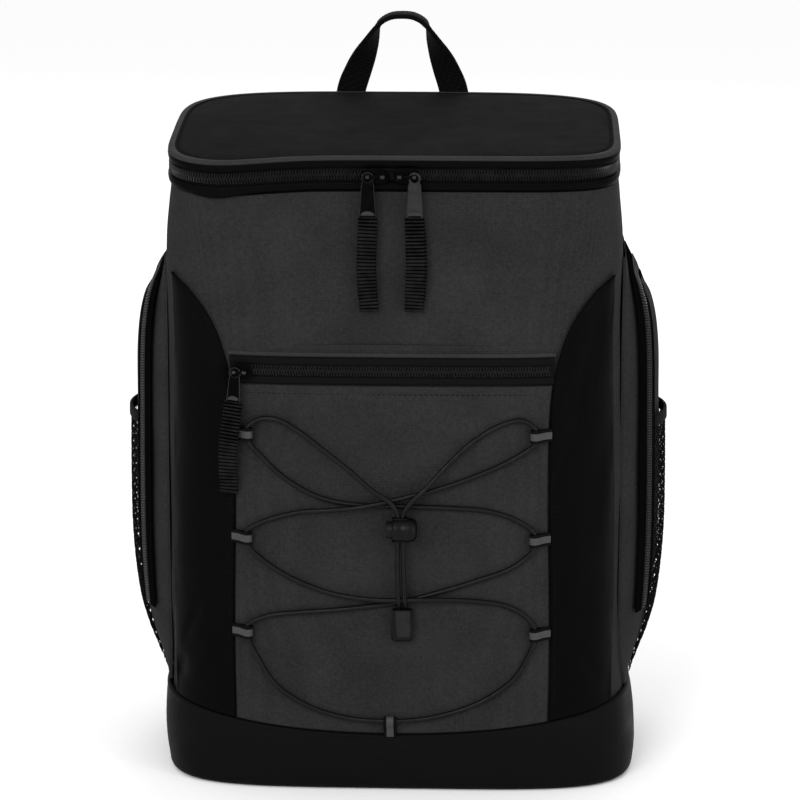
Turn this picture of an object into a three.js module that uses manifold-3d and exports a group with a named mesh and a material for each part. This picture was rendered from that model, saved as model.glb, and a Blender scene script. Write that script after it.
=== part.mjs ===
// Cooler backpack: an insulated box bag with a zipped lid, a zipped front pocket under a laced cord,
// coated wings and base, domed side pockets, a grab handle and two shoulder straps.
// Millimetres, +Z up, +X to the viewer's right, the front faces -Y, the origin is under the middle of the base.
import * as THREE from "three";
import { mergeVertices } from "three/addons/utils/BufferGeometryUtils.js";
import Module from "manifold-3d";

const wasm = await Module();
wasm.setup();

// Body
const BODY_HALF_WIDTH = 154;
const BODY_FRONT_DEPTH = 93;
const BODY_BACK_DEPTH = 93;
const BODY_TOP = 402.3;
const MOUTH_GAP = 1.6;
const BODY_WALL = 6;
const BODY_EDGE_RADIUS = 11;
const BASE_LEAN = 8;
const GAP = 0.3;
const SKIN_GAP = 0.7;

// Base boot
const BOOT_CLOTH = 2;
const SEAM_LOW = 38.5;
const SEAM_HIGH = 56;
const BOOT_HEEL = 12;

// Lid
const LID_HALF_WIDTH = 147;
const LID_FRONT_DEPTH = 94;
const LID_BACK_DEPTH = 94;
const LID_SQUARE_FRONT = 7;
const LID_SQUARE_BACK = 5.5;
const LID_SLOPE = 0.07;
const LID_CORNER_SAG = 4.5;
const LID_THICKNESS = 9;
const LID_CROWN = 2;
const RIM_WIDTH = 5.5;
const RIM_HEIGHT = 1.4;
const BAND_CLOTH = 2.4;
const LOWER_BINDING_HEIGHT = 5;
const LID_ZIP_HEIGHT = 9;
const UPPER_BINDING_HEIGHT = 4.6;
const TAPE_CLOTH = 1.2;
const COIL_HEIGHT = 6.4;
const COIL_DEPTH = 2.6;
const ZIP_BACK_END = 0.72;

// Front pocket and wings
const FRONT_CLOTH = 2;
const POCKET_PUFF = 3;
const POCKET_ZIP_LOW = 277;
const POCKET_ZIP_HIGH = 294.4;
const WING_APEX = 345;
const WING_INNER_HALF = 104;
const WING_PUFF = 1.6;
const SEAM_GAP = 1;

// Side pockets
const POCKET_BULGE = 22.5;
const SIDE_POCKET_LOW = 58;
const SIDE_POCKET_HIGH = 351;
const SIDE_POCKET_FRONT = -49;
const SIDE_POCKET_BACK = 74;
const SIDE_CLOTH = 1.6;
const SIDE_ZIP_WIDTH = 13;
const SIDE_ZIP_INSET = 16;
const SIDE_ZIP_GAP = 1.1;
const SIDE_ZIP_LOW = 108;
const MESH_HIGH = 232;
const MESH_CLOTH = 1.1;
const MESH_STAND = 2.4;
const MESH_BINDING = 8;

// Zip sliders and pulls
const SLIDER_LENGTH = 17;
const SLIDER_HEIGHT = 10.4;
const SLIDER_PLATE = 2.4;
const BRIDGE_RADIUS = 1.15;
const BRIDGE_STAND = 4.5;
const BRIDGE_LENGTH = 12.4;
const PULL_EYE_RADIUS = 4;
const PULL_EYE_HOLE = 2.5;
const PULL_THICKNESS = 1.5;
const PULL_BEHIND_BRIDGE = 2.3;
const PULL_LENGTH = 33;
const PULL_WIDTH = 11;
const PULL_NECK_WIDTH = 8.4;
const POCKET_PULL_LENGTH = 27;
const POCKET_PULL_WIDTH = 9.4;
const RIBBON_LENGTH = 58;
const RIBBON_WIDTH = 12.4;
const RIBBON_THICKNESS = 2.6;
const LEFT_SLIDER_X = -9.8;
const RIGHT_SLIDER_X = 10;
const POCKET_SLIDER_X = -96.5;
const POCKET_SLIDER_LENGTH = 14;
const PULL_REST = 0.045;
const POCKET_PULL_LEAN = 0.08;

// Laced cord and its fittings
const CORD_DIAMETER = 3.2;
const CORD_LAYER = 3.6;
const LOOP_WIDTH = 8.6;
const LOOP_LENGTH = 12.5;
const LOOP_WEBBING = 0.9;
const LOCK_RADIUS = 7.9;
const LOCK_LEFT = 1.4;
const LOCK_RIGHT = 17;
const LOCK_Z = 183;
const LOCK_WALL = 1.5;
const BUTTON_RADIUS = 5.7;
const BUTTON_OUT = 4.4;
const BUTTON_TRAVEL = 2;
const TAIL_LEFT_X = 4.4;
const TAIL_RIGHT_X = 8;
const CAP_TOP = 128;
const CAP_HEIGHT = 21.6;
const CAP_WIDTH = 15;
const CAP_THICKNESS = 7.2;

// Grab handle, back and shoulder straps
const HANDLE_TOP = 492.5;
const HANDLE_HALF_SPAN = 38;
const HANDLE_WIDTH = 23;
const HANDLE_THICKNESS = 3.2;
const HANDLE_FOOT = 392;
const BACK_PAD = 9;
const BACK_PAD_HALF_WIDTH = 116;
const BACK_PAD_LOW = 80;
const BACK_PAD_HIGH = 388;
const STRAP_WIDTH = 62;
const STRAP_THICKNESS = 11;
const STRAP_HALF_SPREAD = 62;
const STRAP_TOP = 364;
const STRAP_END = 150;
const STRAP_REACH = 46;
const WEBBING_WIDTH = 25;
const WEBBING_THICKNESS = 1.6;
const WEBBING_FOOT = 62;
const WEBBING_FOOT_X = 84;
const BUCKLE_DROP = 2.5;
const BUCKLE_WIDTH = 34;
const BUCKLE_HEIGHT = 24;
const BUCKLE_THICKNESS = 4.4;
const BUCKLE_SLOT = 5.2;

// How finely the round forms are divided
const PLAN_POINTS = 40;

const COLOURS = {
  grey_cloth: [0x2f2f31, 0.86, 0],
  coated_cloth: [0x111112, 0.42, 0],
  black_webbing: [0x0c0c0d, 0.8, 0],
  black_plastic: [0x141415, 0.45, 0],
  grey_plastic: [0x2e2e30, 0.45, 0],
  dark_metal: [0x101011, 0.35, 0.8],
  grey_metal: [0x55565a, 0.35, 0.85],
  mesh_cloth: [0x0b0b0c, 0.9, 0],
  reflective_tape: [0x9a9ca0, 0.4, 0.2],
};

// Small helpers
const mix = (a, b, t) => a + (b - a) * t;
const clamp = (v, low, high) => Math.min(high, Math.max(low, v));
const ease = (t) => clamp(t, 0, 1) ** 2 * (3 - 2 * clamp(t, 0, 1));
const signedPower = (v, p) => Math.sign(v) * Math.abs(v) ** p;
const steps = (n, make) => Array.from({ length: n + 1 }, (_, i) => make(i / n, i));

// Reads a table of rows by its first column, with straight lines between the rows
function lookUp(table, key, value, column) {
  let i = 1;
  while (i < table.length - 1 && table[i][key] < value) i++;
  const [a, b] = [table[i - 1], table[i]];
  return mix(a[column], b[column], clamp((value - a[key]) / (b[key] - a[key]), 0, 1));
}

// Closed bodies from points
function faced(points, triangles) {
  let volume = 0;
  for (const [a, b, c] of triangles) {
    const [p, q, r] = [points[a], points[b], points[c]];
    volume += p[0] * (q[1] * r[2] - q[2] * r[1]) - p[1] * (q[0] * r[2] - q[2] * r[0]) + p[2] * (q[0] * r[1] - q[1] * r[0]);
  }
  const out = volume > 0 ? triangles : triangles.map(([a, b, c]) => [a, c, b]);
  const geometry = new THREE.BufferGeometry();
  geometry.setAttribute("position", new THREE.Float32BufferAttribute(points.flat(), 3));
  geometry.setIndex(out.flat());
  return geometry;
}

// A skin through closed rings of points, capped at both ends or joined into a loop
function loft(rings, joined = false) {
  const n = rings[0].length;
  const points = rings.flat();
  const triangles = [];
  const last = joined ? rings.length : rings.length - 1;
  for (let i = 0; i < last; i++) {
    const next = (i + 1) % rings.length;
    for (let j = 0; j < n; j++) {
      const k = (j + 1) % n;
      triangles.push([i * n + j, i * n + k, next * n + k], [i * n + j, next * n + k, next * n + j]);
    }
  }
  if (!joined) {
    for (const [ring, flip] of [[0, true], [rings.length - 1, false]]) {
      const middle = points.length;
      points.push([0, 1, 2].map((axis) => rings[ring].reduce((sum, p) => sum + p[axis], 0) / n));
      for (let j = 0; j < n; j++) {
        const [a, b] = [ring * n + j, ring * n + ((j + 1) % n)];
        triangles.push(flip ? [middle, b, a] : [middle, a, b]);
      }
    }
  }
  return faced(points, triangles);
}

// A thick sheet between two grids of points, row by row
function sheet(front, back) {
  const [rows, columns] = [front.length, front[0].length];
  const f = (i, j) => i * columns + j;
  const b = (i, j) => rows * columns + i * columns + j;
  const triangles = [];
  const quad = (p, q, r, s) => triangles.push([p, q, r], [p, r, s]);
  for (let i = 0; i < rows - 1; i++) {
    for (let j = 0; j < columns - 1; j++) {
      quad(f(i, j), f(i, j + 1), f(i + 1, j + 1), f(i + 1, j));
      quad(b(i, j), b(i + 1, j), b(i + 1, j + 1), b(i, j + 1));
    }
    quad(f(i, 0), f(i + 1, 0), b(i + 1, 0), b(i, 0));
    quad(f(i, columns - 1), b(i, columns - 1), b(i + 1, columns - 1), f(i + 1, columns - 1));
  }
  for (let j = 0; j < columns - 1; j++) {
    quad(f(0, j), b(0, j), b(0, j + 1), f(0, j + 1));
    quad(f(rows - 1, j), f(rows - 1, j + 1), b(rows - 1, j + 1), b(rows - 1, j));
  }
  return faced([...front.flat(), ...back.flat()], triangles);
}

// A strap along rows of a place, the way across it, its width and its thickness
function strap(rows) {
  return loft(rows.map(({ at, across, out, width, thick }) => {
    const corner = (a, o) => at.map((v, axis) => v + (across[axis] * a * width) / 2 + (out[axis] * o * thick) / 2);
    return [corner(-1, -1), corner(1, -1), corner(1, 1), corner(-1, 1)];
  }));
}

// A flat outline pushed through a thickness along Y, from the given front face back
function plateAlongY(shape, frontY, thickness, curveSegments = 6) {
  const geometry = new THREE.ExtrudeGeometry(shape, { depth: thickness, bevelEnabled: false, curveSegments });
  return geometry.rotateX(Math.PI / 2).translate(0, frontY + thickness, 0);
}

// The body's plan at a height, as shares of its half width and depths, and how square it is in front and behind
const BODY_SECTIONS = [
  { height: 0.0, width: 1.0, front: 0.985, square_front: 3.6, square_back: 5 },
  { height: 0.15, width: 1.0, front: 1.0, square_front: 3.6, square_back: 5 },
  { height: 0.45, width: 0.997, front: 1.0, square_front: 3.7, square_back: 5 },
  { height: 0.75, width: 0.985, front: 1.0, square_front: 4.1, square_back: 5.4 },
  { height: 0.9, width: 0.97, front: 0.995, square_front: 5, square_back: 6 },
  { height: 1.0, width: 0.946, front: 0.985, square_front: 6.5, square_back: 6 },
];

// The share of the height over which the base leans to the right
const LEAN_SHARE = 0.22;

function section(z) {
  const read = (column) => lookUp(BODY_SECTIONS, "height", z / BODY_TOP, column);
  return {
    width: BODY_HALF_WIDTH * read("width"),
    front: BODY_FRONT_DEPTH * read("front"),
    back: BODY_BACK_DEPTH,
    squareFront: read("square_front"),
    squareBack: read("square_back"),
    shift: BASE_LEAN * clamp(1 - z / (LEAN_SHARE * BODY_TOP), 0, 1),
  };
}

// Height added by the lid's slope towards the back, and taken by the front left corner's sag
function lidLift(x, y) {
  const corner = Math.exp(-(((x + LID_HALF_WIDTH * 0.8) / (LID_HALF_WIDTH * 0.3)) ** 2));
  const frontness = clamp(-y / LID_FRONT_DEPTH, 0, 1);
  return LID_SLOPE * (y + LID_FRONT_DEPTH) - LID_CORNER_SAG * corner * frontness;
}

// A point of the body's outer face, a distance outside it, at an angle round the plan
function bodyPoint(angle, z, out) {
  const s = section(z);
  const [c, n] = [Math.cos(angle), Math.sin(angle)];
  const square = n < 0 ? s.squareFront : s.squareBack;
  const depth = n < 0 ? s.front : s.back;
  const x = s.shift + (s.width + out) * signedPower(c, 2 / square);
  const y = (depth + out) * signedPower(n, 2 / square);
  const lifted = ease((z / BODY_TOP - 0.55) / 0.45);
  return [x, y, z + lidLift(x, y) * lifted];
}

// Angles round a plan that put its points closest where it turns most
function planAngles(place, count) {
  const fine = steps(1440, (t) => place(t * 2 * Math.PI));
  const heading = (i) => Math.atan2(fine[i + 1][1] - fine[i][1], fine[i + 1][0] - fine[i][0]);
  const sums = [0];
  for (let i = 1; i < 1440; i++) {
    const turn = Math.abs(Math.atan2(Math.sin(heading(i) - heading(i - 1)), Math.cos(heading(i) - heading(i - 1))));
    const long = Math.hypot(fine[i][0] - fine[i - 1][0], fine[i][1] - fine[i - 1][1]);
    sums.push(sums[i - 1] + Math.sqrt(turn * long));
  }
  return steps(count - 1, (_, i) => {
    const want = ((i + 0.5) / count) * sums[1439];
    return (sums.findIndex((sum) => sum >= want) / 1440) * 2 * Math.PI;
  });
}

const angles = planAngles((angle) => bodyPoint(angle, BODY_TOP / 2, 0), PLAN_POINTS);
const lidAngles = planAngles((angle) => lidPoint(angle, 0, 0), PLAN_POINTS);
const bodyRing = (z, out) => angles.map((angle) => bodyPoint(angle, z, out));

// The body's front face: its y at a place x across and z up
function frontY(x, z, out) {
  const s = section(z);
  const share = clamp(Math.abs(x - s.shift) / (s.width + out), 0, 0.9995);
  return -(s.front + out) * (1 - share ** s.squareFront) ** (1 / s.squareFront);
}

// The body's side face: how far it stands out at a place y along and z up
function sideX(y, z, out) {
  const s = section(z);
  const [square, depth] = y < 0 ? [s.squareFront, s.front] : [s.squareBack, s.back];
  const share = clamp(Math.abs(y) / (depth + out), 0, 0.9995);
  return (s.width + out) * (1 - share ** square) ** (1 / square);
}

// Places across the front or back between two edges, closest where the body turns
function columns(from, to, z, pieces, squareness = "squareFront") {
  const s = section(z);
  const square = s[squareness];
  const angle = (x) => Math.acos(clamp(signedPower((x - s.shift) / s.width, square / 2), -1, 1));
  return steps(pieces, (t) => s.shift + s.width * signedPower(Math.cos(mix(angle(from), angle(to), t)), 2 / square));
}

// The seam round the top of the base, which climbs towards the sides
const seamHeight = (x) => mix(SEAM_LOW, SEAM_HIGH, clamp(Math.abs(x) / BODY_HALF_WIDTH, 0, 1) ** 2);

// Body shell: open at the top, with a floor
function mainBody() {
  const floor = BOOT_CLOTH + GAP;
  const heel = (out, low, radius) => steps(3, (t) => {
    const turn = (t * Math.PI) / 2;
    return bodyRing(low + radius * (1 - Math.cos(turn)), out - radius * (1 - Math.sin(turn)))
      .map(([x, y]) => [x, y, low + radius * (1 - Math.cos(turn))]);
  });
  const levels = [0.12, LEAN_SHARE, 0.36, 0.55, 0.66, 0.75, 0.83, 0.9, 0.95, 1].map((share) => share * BODY_TOP);
  const outer = levels.map((z) => bodyRing(z, 0));
  const inner = levels.filter((_, i) => i % 3 === 0).map((z) => bodyRing(z, -BODY_WALL)).reverse();
  const innerRadius = BODY_EDGE_RADIUS - BODY_WALL / 2;
  return loft([
    ...heel(0, floor, BODY_EDGE_RADIUS),
    ...outer,
    ...inner,
    ...heel(-BODY_WALL, floor + BODY_WALL, innerRadius).reverse(),
  ]);
}

// Base boot: a coated skin under and round the foot of the body, up to its curved seam
function baseBoot() {
  const outerOut = BOOT_CLOTH + GAP;
  const ring = (out, height) => bodyRing(height, out).map(([x, y]) => [x, y, height]);
  const heel = (out, low, radius) => steps(3, (t) => {
    const turn = (t * Math.PI) / 2;
    return ring(out - radius * (1 - Math.sin(turn)), low + radius * (1 - Math.cos(turn)));
  });
  const wall = (out, share) => angles.map((angle) => {
    const z = mix(BOOT_HEEL + BOOT_CLOTH, seamHeight(bodyPoint(angle, SEAM_LOW, out)[0]), share);
    const [x, y] = bodyPoint(angle, z, out);
    return [x, y, z];
  });
  const rimOut = [wall(outerOut, 0.5), wall(outerOut, 1)];
  const rimIn = [wall(GAP, 1), wall(GAP, 0.5)];
  return loft([
    ...heel(outerOut, 0, BOOT_HEEL),
    ...rimOut,
    ...rimIn,
    ...heel(GAP, BOOT_CLOTH, BODY_EDGE_RADIUS + GAP).reverse(),
  ]);
}

// Lid: a point of its rounded oblong, a distance inside its edge, at a height above the band
function lidPoint(angle, z, inset) {
  const [c, n] = [Math.cos(angle), Math.sin(angle)];
  const square = n < 0 ? LID_SQUARE_FRONT : LID_SQUARE_BACK;
  const x = (LID_HALF_WIDTH - inset) * signedPower(c, 2 / square);
  const y = ((n < 0 ? LID_FRONT_DEPTH : LID_BACK_DEPTH) - inset) * signedPower(n, 2 / square);
  return [x, y, z + lidLift(x, y)];
}
const lidRing = (z, inset) => lidAngles.map((angle) => lidPoint(angle, z, inset));

const LOWER_BINDING_FOOT = BODY_TOP + MOUTH_GAP;
const ZIP_FOOT = LOWER_BINDING_FOOT + LOWER_BINDING_HEIGHT + GAP;
const UPPER_BINDING_FOOT = ZIP_FOOT + LID_ZIP_HEIGHT + GAP;
const LID_FOOT = UPPER_BINDING_FOOT + UPPER_BINDING_HEIGHT + GAP;
const ZIP_INSET = 1.6;

// A band round the mouth, between two heights
function band(foot, height, inset, thickness) {
  return loft([
    lidRing(foot, inset),
    lidRing(foot + height, inset),
    lidRing(foot + height, inset + thickness),
    lidRing(foot, inset + thickness),
  ], true);
}

// The angle round the lid where the zip ends, near its back corners
const ZIP_END_ANGLE = Math.asin(ZIP_BACK_END ** (LID_SQUARE_BACK / 2));
const HINGE_GAP_ANGLE = 0.02;

// Part of the band, between two angles, through the same points round the lid
function openBand(foot, height, inset, thickness, from, to) {
  const between = [...lidAngles, ...lidAngles.map((angle) => angle + 2 * Math.PI)].filter((a) => a > from && a < to);
  const arc = [from, ...between, to];
  const grid = (inward) => [foot, foot + height].map((z) => arc.map((angle) => lidPoint(angle, z, inward)));
  return sheet(grid(inset), grid(inset + thickness));
}

// Lid panel: a foam tray with a raised rim, a groove inside it and a slightly crowned top
function lidPanel() {
  const depth = LID_FOOT - LID_THICKNESS * 0.6;
  const clear = ZIP_INSET + TAPE_CLOTH + BAND_CLOTH + GAP;
  const top = LID_FOOT + RIM_HEIGHT;
  return loft([
    lidRing(depth, clear + 2),
    lidRing(LID_FOOT, clear),
    lidRing(LID_FOOT, 0.8),
    lidRing(LID_FOOT + RIM_HEIGHT * 0.7, 0),
    lidRing(top + RIM_HEIGHT * 0.5, RIM_WIDTH * 0.35),
    lidRing(top + RIM_HEIGHT * 0.2, RIM_WIDTH * 0.8),
    lidRing(top - RIM_HEIGHT * 0.5, RIM_WIDTH),
    lidRing(top, RIM_WIDTH * 1.35),
    lidRing(top + LID_CROWN * 0.5, RIM_WIDTH * 5),
    lidRing(top + LID_CROWN, RIM_WIDTH * 11),
  ]);
}

// Wing outline by height: the inner edge as a share of its half distance, the outer as a share of the body's
const WING_ROWS = [
  { height: 0.0, inner: 1.0, outer: 0.95 },
  { height: 0.12, inner: 1.004, outer: 0.952 },
  { height: 0.3, inner: 1.0, outer: 0.951 },
  { height: 0.5, inner: 0.988, outer: 0.947 },
  { height: 0.68, inner: 0.99, outer: 0.938 },
  { height: 0.76, inner: 1.005, outer: 0.934 },
  { height: 0.82, inner: 1.035, outer: 0.932 },
  { height: 0.88, inner: 1.09, outer: 0.932 },
  { height: 0.93, inner: 1.17, outer: 0.936 },
  { height: 0.975, inner: 1.28, outer: 0.939 },
  { height: 1.0, inner: 1.37, outer: 0.941 },
];
const wingRow = (z) => clamp((z - SEAM_LOW) / (WING_APEX - SEAM_LOW), 0, 1);
const wingInner = (z) => WING_INNER_HALF * lookUp(WING_ROWS, "height", wingRow(z), "inner");
const wingOuter = (z) => BODY_HALF_WIDTH * lookUp(WING_ROWS, "height", wingRow(z), "outer");

// Heights of the wing's rows, with one more between each two of the tall ones
const wingHeights = WING_ROWS.map(({ height }) => height).flatMap((h, i, all) => (i && i < 5 ? [(h + all[i - 1]) / 2, h] : [h]));

function wing(side) {
  const grid = (out) => wingHeights.map((height) => {
    const straight = mix(SEAM_LOW, WING_APEX, height);
    return columns(side * wingInner(straight), side * wingOuter(straight), straight, 6).map((x, i) => {
      const z = mix(seamHeight(x) + SEAM_GAP, WING_APEX, height);
      const swell = WING_PUFF * Math.sin((Math.PI * i) / 6) * Math.min(1, 8 * height * (1 - height));
      return [x, frontY(x, z, out + swell), z];
    });
  });
  return sheet(grid(SKIN_GAP + FRONT_CLOTH), grid(SKIN_GAP));
}

// How far the front pocket's cloth stands off the body
function pocketOut(x, z) {
  const middle = clamp(1 - (x / WING_INNER_HALF) ** 2, 0, 1);
  const up = Math.sin(Math.PI * clamp((z - SEAM_LOW) / (POCKET_ZIP_LOW - SEAM_LOW), 0, 1));
  return SKIN_GAP + POCKET_PUFF * middle * up;
}

function frontPocket() {
  const top = POCKET_ZIP_LOW - SEAM_GAP;
  const levels = [...wingHeights.map((height) => mix(SEAM_LOW, WING_APEX, height)).filter((z) => z < top), top];
  const grid = (out) => levels.map((level) => {
    const edge = wingInner(level) - SEAM_GAP;
    return columns(-edge, edge, level, 12).map((x) => {
      const z = mix(seamHeight(x) + SEAM_GAP, top, (level - SEAM_LOW) / (top - SEAM_LOW));
      return [x, frontY(x, z, pocketOut(x, z) + out), z];
    });
  });
  return sheet(grid(FRONT_CLOTH), grid(0));
}

// A level strip on the front, between the wings
function frontStrip(low, high, inner, outer, trim) {
  const grid = (out) => [low, high].map((z) => {
    const edge = wingInner(z) - SEAM_GAP - trim;
    return columns(-edge, edge, z, 14).map((x) => [x, frontY(x, z, out), z]);
  });
  return sheet(grid(outer), grid(inner));
}

// Side pockets: a dome on each side of the body
const DOME_ROWS = [
  { height: 0.0, bulge: 0.02, span: 0.86 },
  { height: 0.05, bulge: 0.28, span: 0.95 },
  { height: 0.1, bulge: 0.55, span: 1.0 },
  { height: 0.18, bulge: 0.8, span: 1.0 },
  { height: 0.3, bulge: 0.96, span: 1.0 },
  { height: 0.45, bulge: 1.0, span: 1.0 },
  { height: 0.62, bulge: 0.99, span: 1.0 },
  { height: 0.8, bulge: 0.96, span: 1.0 },
  { height: 0.88, bulge: 0.84, span: 0.98 },
  { height: 0.94, bulge: 0.6, span: 0.95 },
  { height: 0.98, bulge: 0.28, span: 0.9 },
  { height: 1.0, bulge: 0.02, span: 0.84 },
];
const domeShare = (z) => (z - SIDE_POCKET_LOW) / (SIDE_POCKET_HIGH - SIDE_POCKET_LOW);

function domeEnds(z) {
  const middle = (SIDE_POCKET_FRONT + SIDE_POCKET_BACK) / 2;
  const half = ((SIDE_POCKET_BACK - SIDE_POCKET_FRONT) / 2) * lookUp(DOME_ROWS, "height", domeShare(z), "span");
  return [middle - half, middle + half];
}

// How far out the pocket's outer face lies at a place on the side
function domeX(y, z) {
  const [front, back] = domeEnds(z);
  const t = clamp((y - front) / (back - front), 0, 1);
  const bulge = lookUp(DOME_ROWS, "height", domeShare(z), "bulge");
  return sideX(y, z, SKIN_GAP + SIDE_CLOTH) + POCKET_BULGE * bulge * Math.sin(Math.PI * t) ** 0.9;
}

function sidePocket(side) {
  const grid = (inward) => DOME_ROWS.map(({ height }) => {
    const z = mix(SIDE_POCKET_LOW, SIDE_POCKET_HIGH, height);
    const [front, back] = domeEnds(z);
    return steps(12, (t) => {
      const y = mix(front, back, t);
      return [side * (domeX(y, z) - inward) + section(z).shift, y, z];
    });
  });
  return sheet(grid(0), grid(SIDE_CLOTH));
}

// The side pocket's zip: an arch that runs up the front, over the top and down the back of the dome
function archPath() {
  const front = SIDE_POCKET_FRONT + SIDE_ZIP_INSET;
  const back = SIDE_POCKET_BACK - SIDE_ZIP_INSET;
  const top = SIDE_POCKET_HIGH - SIDE_ZIP_INSET;
  const radius = SIDE_ZIP_INSET;
  const rowHeights = DOME_ROWS.map(({ height }) => mix(SIDE_POCKET_LOW, SIDE_POCKET_HIGH, height));
  const heights = [SIDE_ZIP_LOW, ...rowHeights.filter((z) => z > SIDE_ZIP_LOW && z < top - radius), top - radius];
  const leg = heights.map((z) => ({ y: front, z, ny: -1, nz: 0 }));
  const turn = (cy, from) => [0.25, 0.5, 0.75, 1].map((t) => {
    const a = from - (t * Math.PI) / 2;
    return { y: cy + radius * Math.cos(a), z: top - radius + radius * Math.sin(a), ny: Math.cos(a), nz: Math.sin(a) };
  });
  const down = heights.slice(0, -1).reverse().map((z) => ({ y: back, z, ny: 1, nz: 0 }));
  const crown = [0.25, 0.5, 0.75, 1].map((t) => ({ y: mix(front + radius, back - radius, t), z: top, ny: 0, nz: 1 }));
  return [...leg, ...turn(front + radius, Math.PI), ...crown, ...turn(back - radius, Math.PI / 2), ...down];
}

function sideArch(side, width, inner, outer) {
  const grid = (out) => archPath().map(({ y, z, ny, nz }) => [-0.5, 0, 0.5].map((across) => {
    const [py, pz] = [y + ny * width * across, z + nz * width * across];
    return [side * (domeX(py, pz) + out) + section(pz).shift, py, pz];
  }));
  return sheet(grid(outer), grid(inner));
}

// Mesh pocket: a net skin over the lower half of the dome, between the zip's legs, open at its top edge
function meshSheet(side, low, high, rows, thickness) {
  const edge = SIDE_ZIP_INSET + SIDE_ZIP_WIDTH / 2 + 2 * SEAM_GAP;
  const grid = (out) => steps(rows, (up) => steps(10, (t) => {
    const [y, z] = [mix(SIDE_POCKET_FRONT + edge, SIDE_POCKET_BACK - edge, t), mix(low, high, up)];
    const rise = Math.min(1, (4 * (z - SIDE_POCKET_LOW)) / (MESH_HIGH - SIDE_POCKET_LOW));
    const stand = MESH_STAND * rise * Math.sin(Math.PI * t) ** 0.5;
    return [side * (domeX(y, z) + SKIN_GAP + stand + out) + section(z).shift, y, z];
  }));
  return sheet(grid(thickness), grid(0));
}

// Solids that are joined or cut
function solid(geometry) {
  const bare = geometry.clone();
  bare.deleteAttribute("normal");
  bare.deleteAttribute("uv");
  const merged = mergeVertices(bare, 1e-4);
  const triVerts = new Uint32Array(merged.index.array);
  return new wasm.Manifold(new wasm.Mesh({ numProp: 3, vertProperties: merged.attributes.position.array, triVerts }));
}

function shapeOf(manifold) {
  const { vertProperties, triVerts } = manifold.getMesh();
  const geometry = new THREE.BufferGeometry();
  geometry.setAttribute("position", new THREE.Float32BufferAttribute(vertProperties, 3));
  return geometry.setIndex(Array.from(triVerts));
}

// Zip fittings, each in a frame of its own: X along the zip, -Y out of the cloth, Z up
const ZIP_MIDDLE_Z = ZIP_FOOT + LID_ZIP_HEIGHT / 2;
const POCKET_ZIP_MIDDLE = (POCKET_ZIP_LOW + POCKET_ZIP_HIGH) / 2;
const COIL_OUT = SKIN_GAP + TAPE_CLOTH + GAP + COIL_DEPTH;
const BAR_OUT = SLIDER_PLATE + BRIDGE_STAND;

// Slider: a chamfered plate over the coil, and a bridge whose bar the pull's eye hangs behind
function slider(side, length, reach) {
  const [w, h, cut, r] = [length / 2, SLIDER_HEIGHT / 2, SLIDER_HEIGHT / 4, BRIDGE_RADIUS];
  const outline = new THREE.Shape();
  outline.moveTo(cut - w, -h).lineTo(w - cut, -h).lineTo(w, cut - h).lineTo(w, h - cut);
  outline.lineTo(w - cut, h).lineTo(cut - w, h).lineTo(-w, h - cut).lineTo(-w, cut - h);
  const foot = side * (2 * r - w);
  const tip = foot + side * reach;
  const post = (out, reachOut) => steps(7, (_, i) => {
    const turn = ((i + 0.5) / 8) * 2 * Math.PI;
    return [foot + reachOut + r * Math.cos(turn), -out, r * Math.sin(turn)];
  });
  const end = (x, radius) => steps(7, (_, i) => {
    const turn = ((i + 0.5) / 8) * 2 * Math.PI;
    return [x, -BAR_OUT + radius * Math.cos(turn), radius * Math.sin(turn)];
  });
  const upright = loft([post(SLIDER_PLATE / 2, 0), post(BAR_OUT, 0)]);
  const bar = loft([end(foot - side * r, r * 0.6), end(foot, r), end(tip - side * r, r), end(tip, r * 0.6)]);
  return shapeOf(solid(plateAlongY(outline, -SLIDER_PLATE, SLIDER_PLATE)).add(solid(upright)).add(solid(bar)));
}

// Where the pull's eye is centred along the zip, from the middle of its slider: just inside the bar's tip
const eyeX = (side, length, reach) => side * (BRIDGE_RADIUS - length / 2 + reach);

// Pull: a tab with a round eye and a slot near its foot, in a frame with the bridge's bar as its X axis
const EYE_DROP = 1.2;
function pull(length, width, neck) {
  const top = PULL_EYE_RADIUS;
  const outline = new THREE.Shape();
  const shoulder = Math.asin(Math.min(1, neck / 2 / top) * 0.94);
  outline.absarc(0, 0, top, Math.PI / 2 + shoulder, Math.PI / 2 - shoulder, true);
  outline.lineTo(neck / 2, -top).lineTo(width / 2, top - length + 1.4).lineTo(width / 2 - 1.4, top - length);
  outline.lineTo(1.4 - width / 2, top - length).lineTo(-width / 2, top - length + 1.4).lineTo(-neck / 2, -top);
  const eye = new THREE.Path();
  eye.absarc(0, 0, PULL_EYE_HOLE, 0, Math.PI * 2, false);
  const slot = new THREE.Path();
  const [low, high, half] = [top - length + 1.8, top - length + 4.4, width / 2 - 1.6];
  slot.moveTo(-half, low).lineTo(half, low).lineTo(half, high).lineTo(-half, high);
  outline.holes.push(eye, slot);
  const front = PULL_BEHIND_BRIDGE - PULL_THICKNESS / 2;
  return plateAlongY(outline, front, PULL_THICKNESS, 4).translate(0, 0, -EYE_DROP);
}

// Ribbon: a doubled length of ribbed tape that hangs from the pull's foot
const RIBBON_ROWS = [
  { down: 0, bow: 0, stand: 0 },
  { down: 0.25, bow: -0.5, stand: 0.5 },
  { down: 0.55, bow: -1, stand: 1 },
  { down: 0.8, bow: -0.3, stand: 0.7 },
  { down: 1, bow: 0.6, stand: 0 },
];
function ribbon(pullLength, bow) {
  const top = PULL_EYE_RADIUS - EYE_DROP - pullLength - GAP;
  return strap(RIBBON_ROWS.map((row) => ({
    at: [row.bow * bow, PULL_BEHIND_BRIDGE - row.stand, top - row.down * RIBBON_LENGTH],
    across: [1, 0, 0],
    out: [0, -1, 0],
    width: RIBBON_WIDTH,
    thick: RIBBON_THICKNESS,
  })));
}

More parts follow.
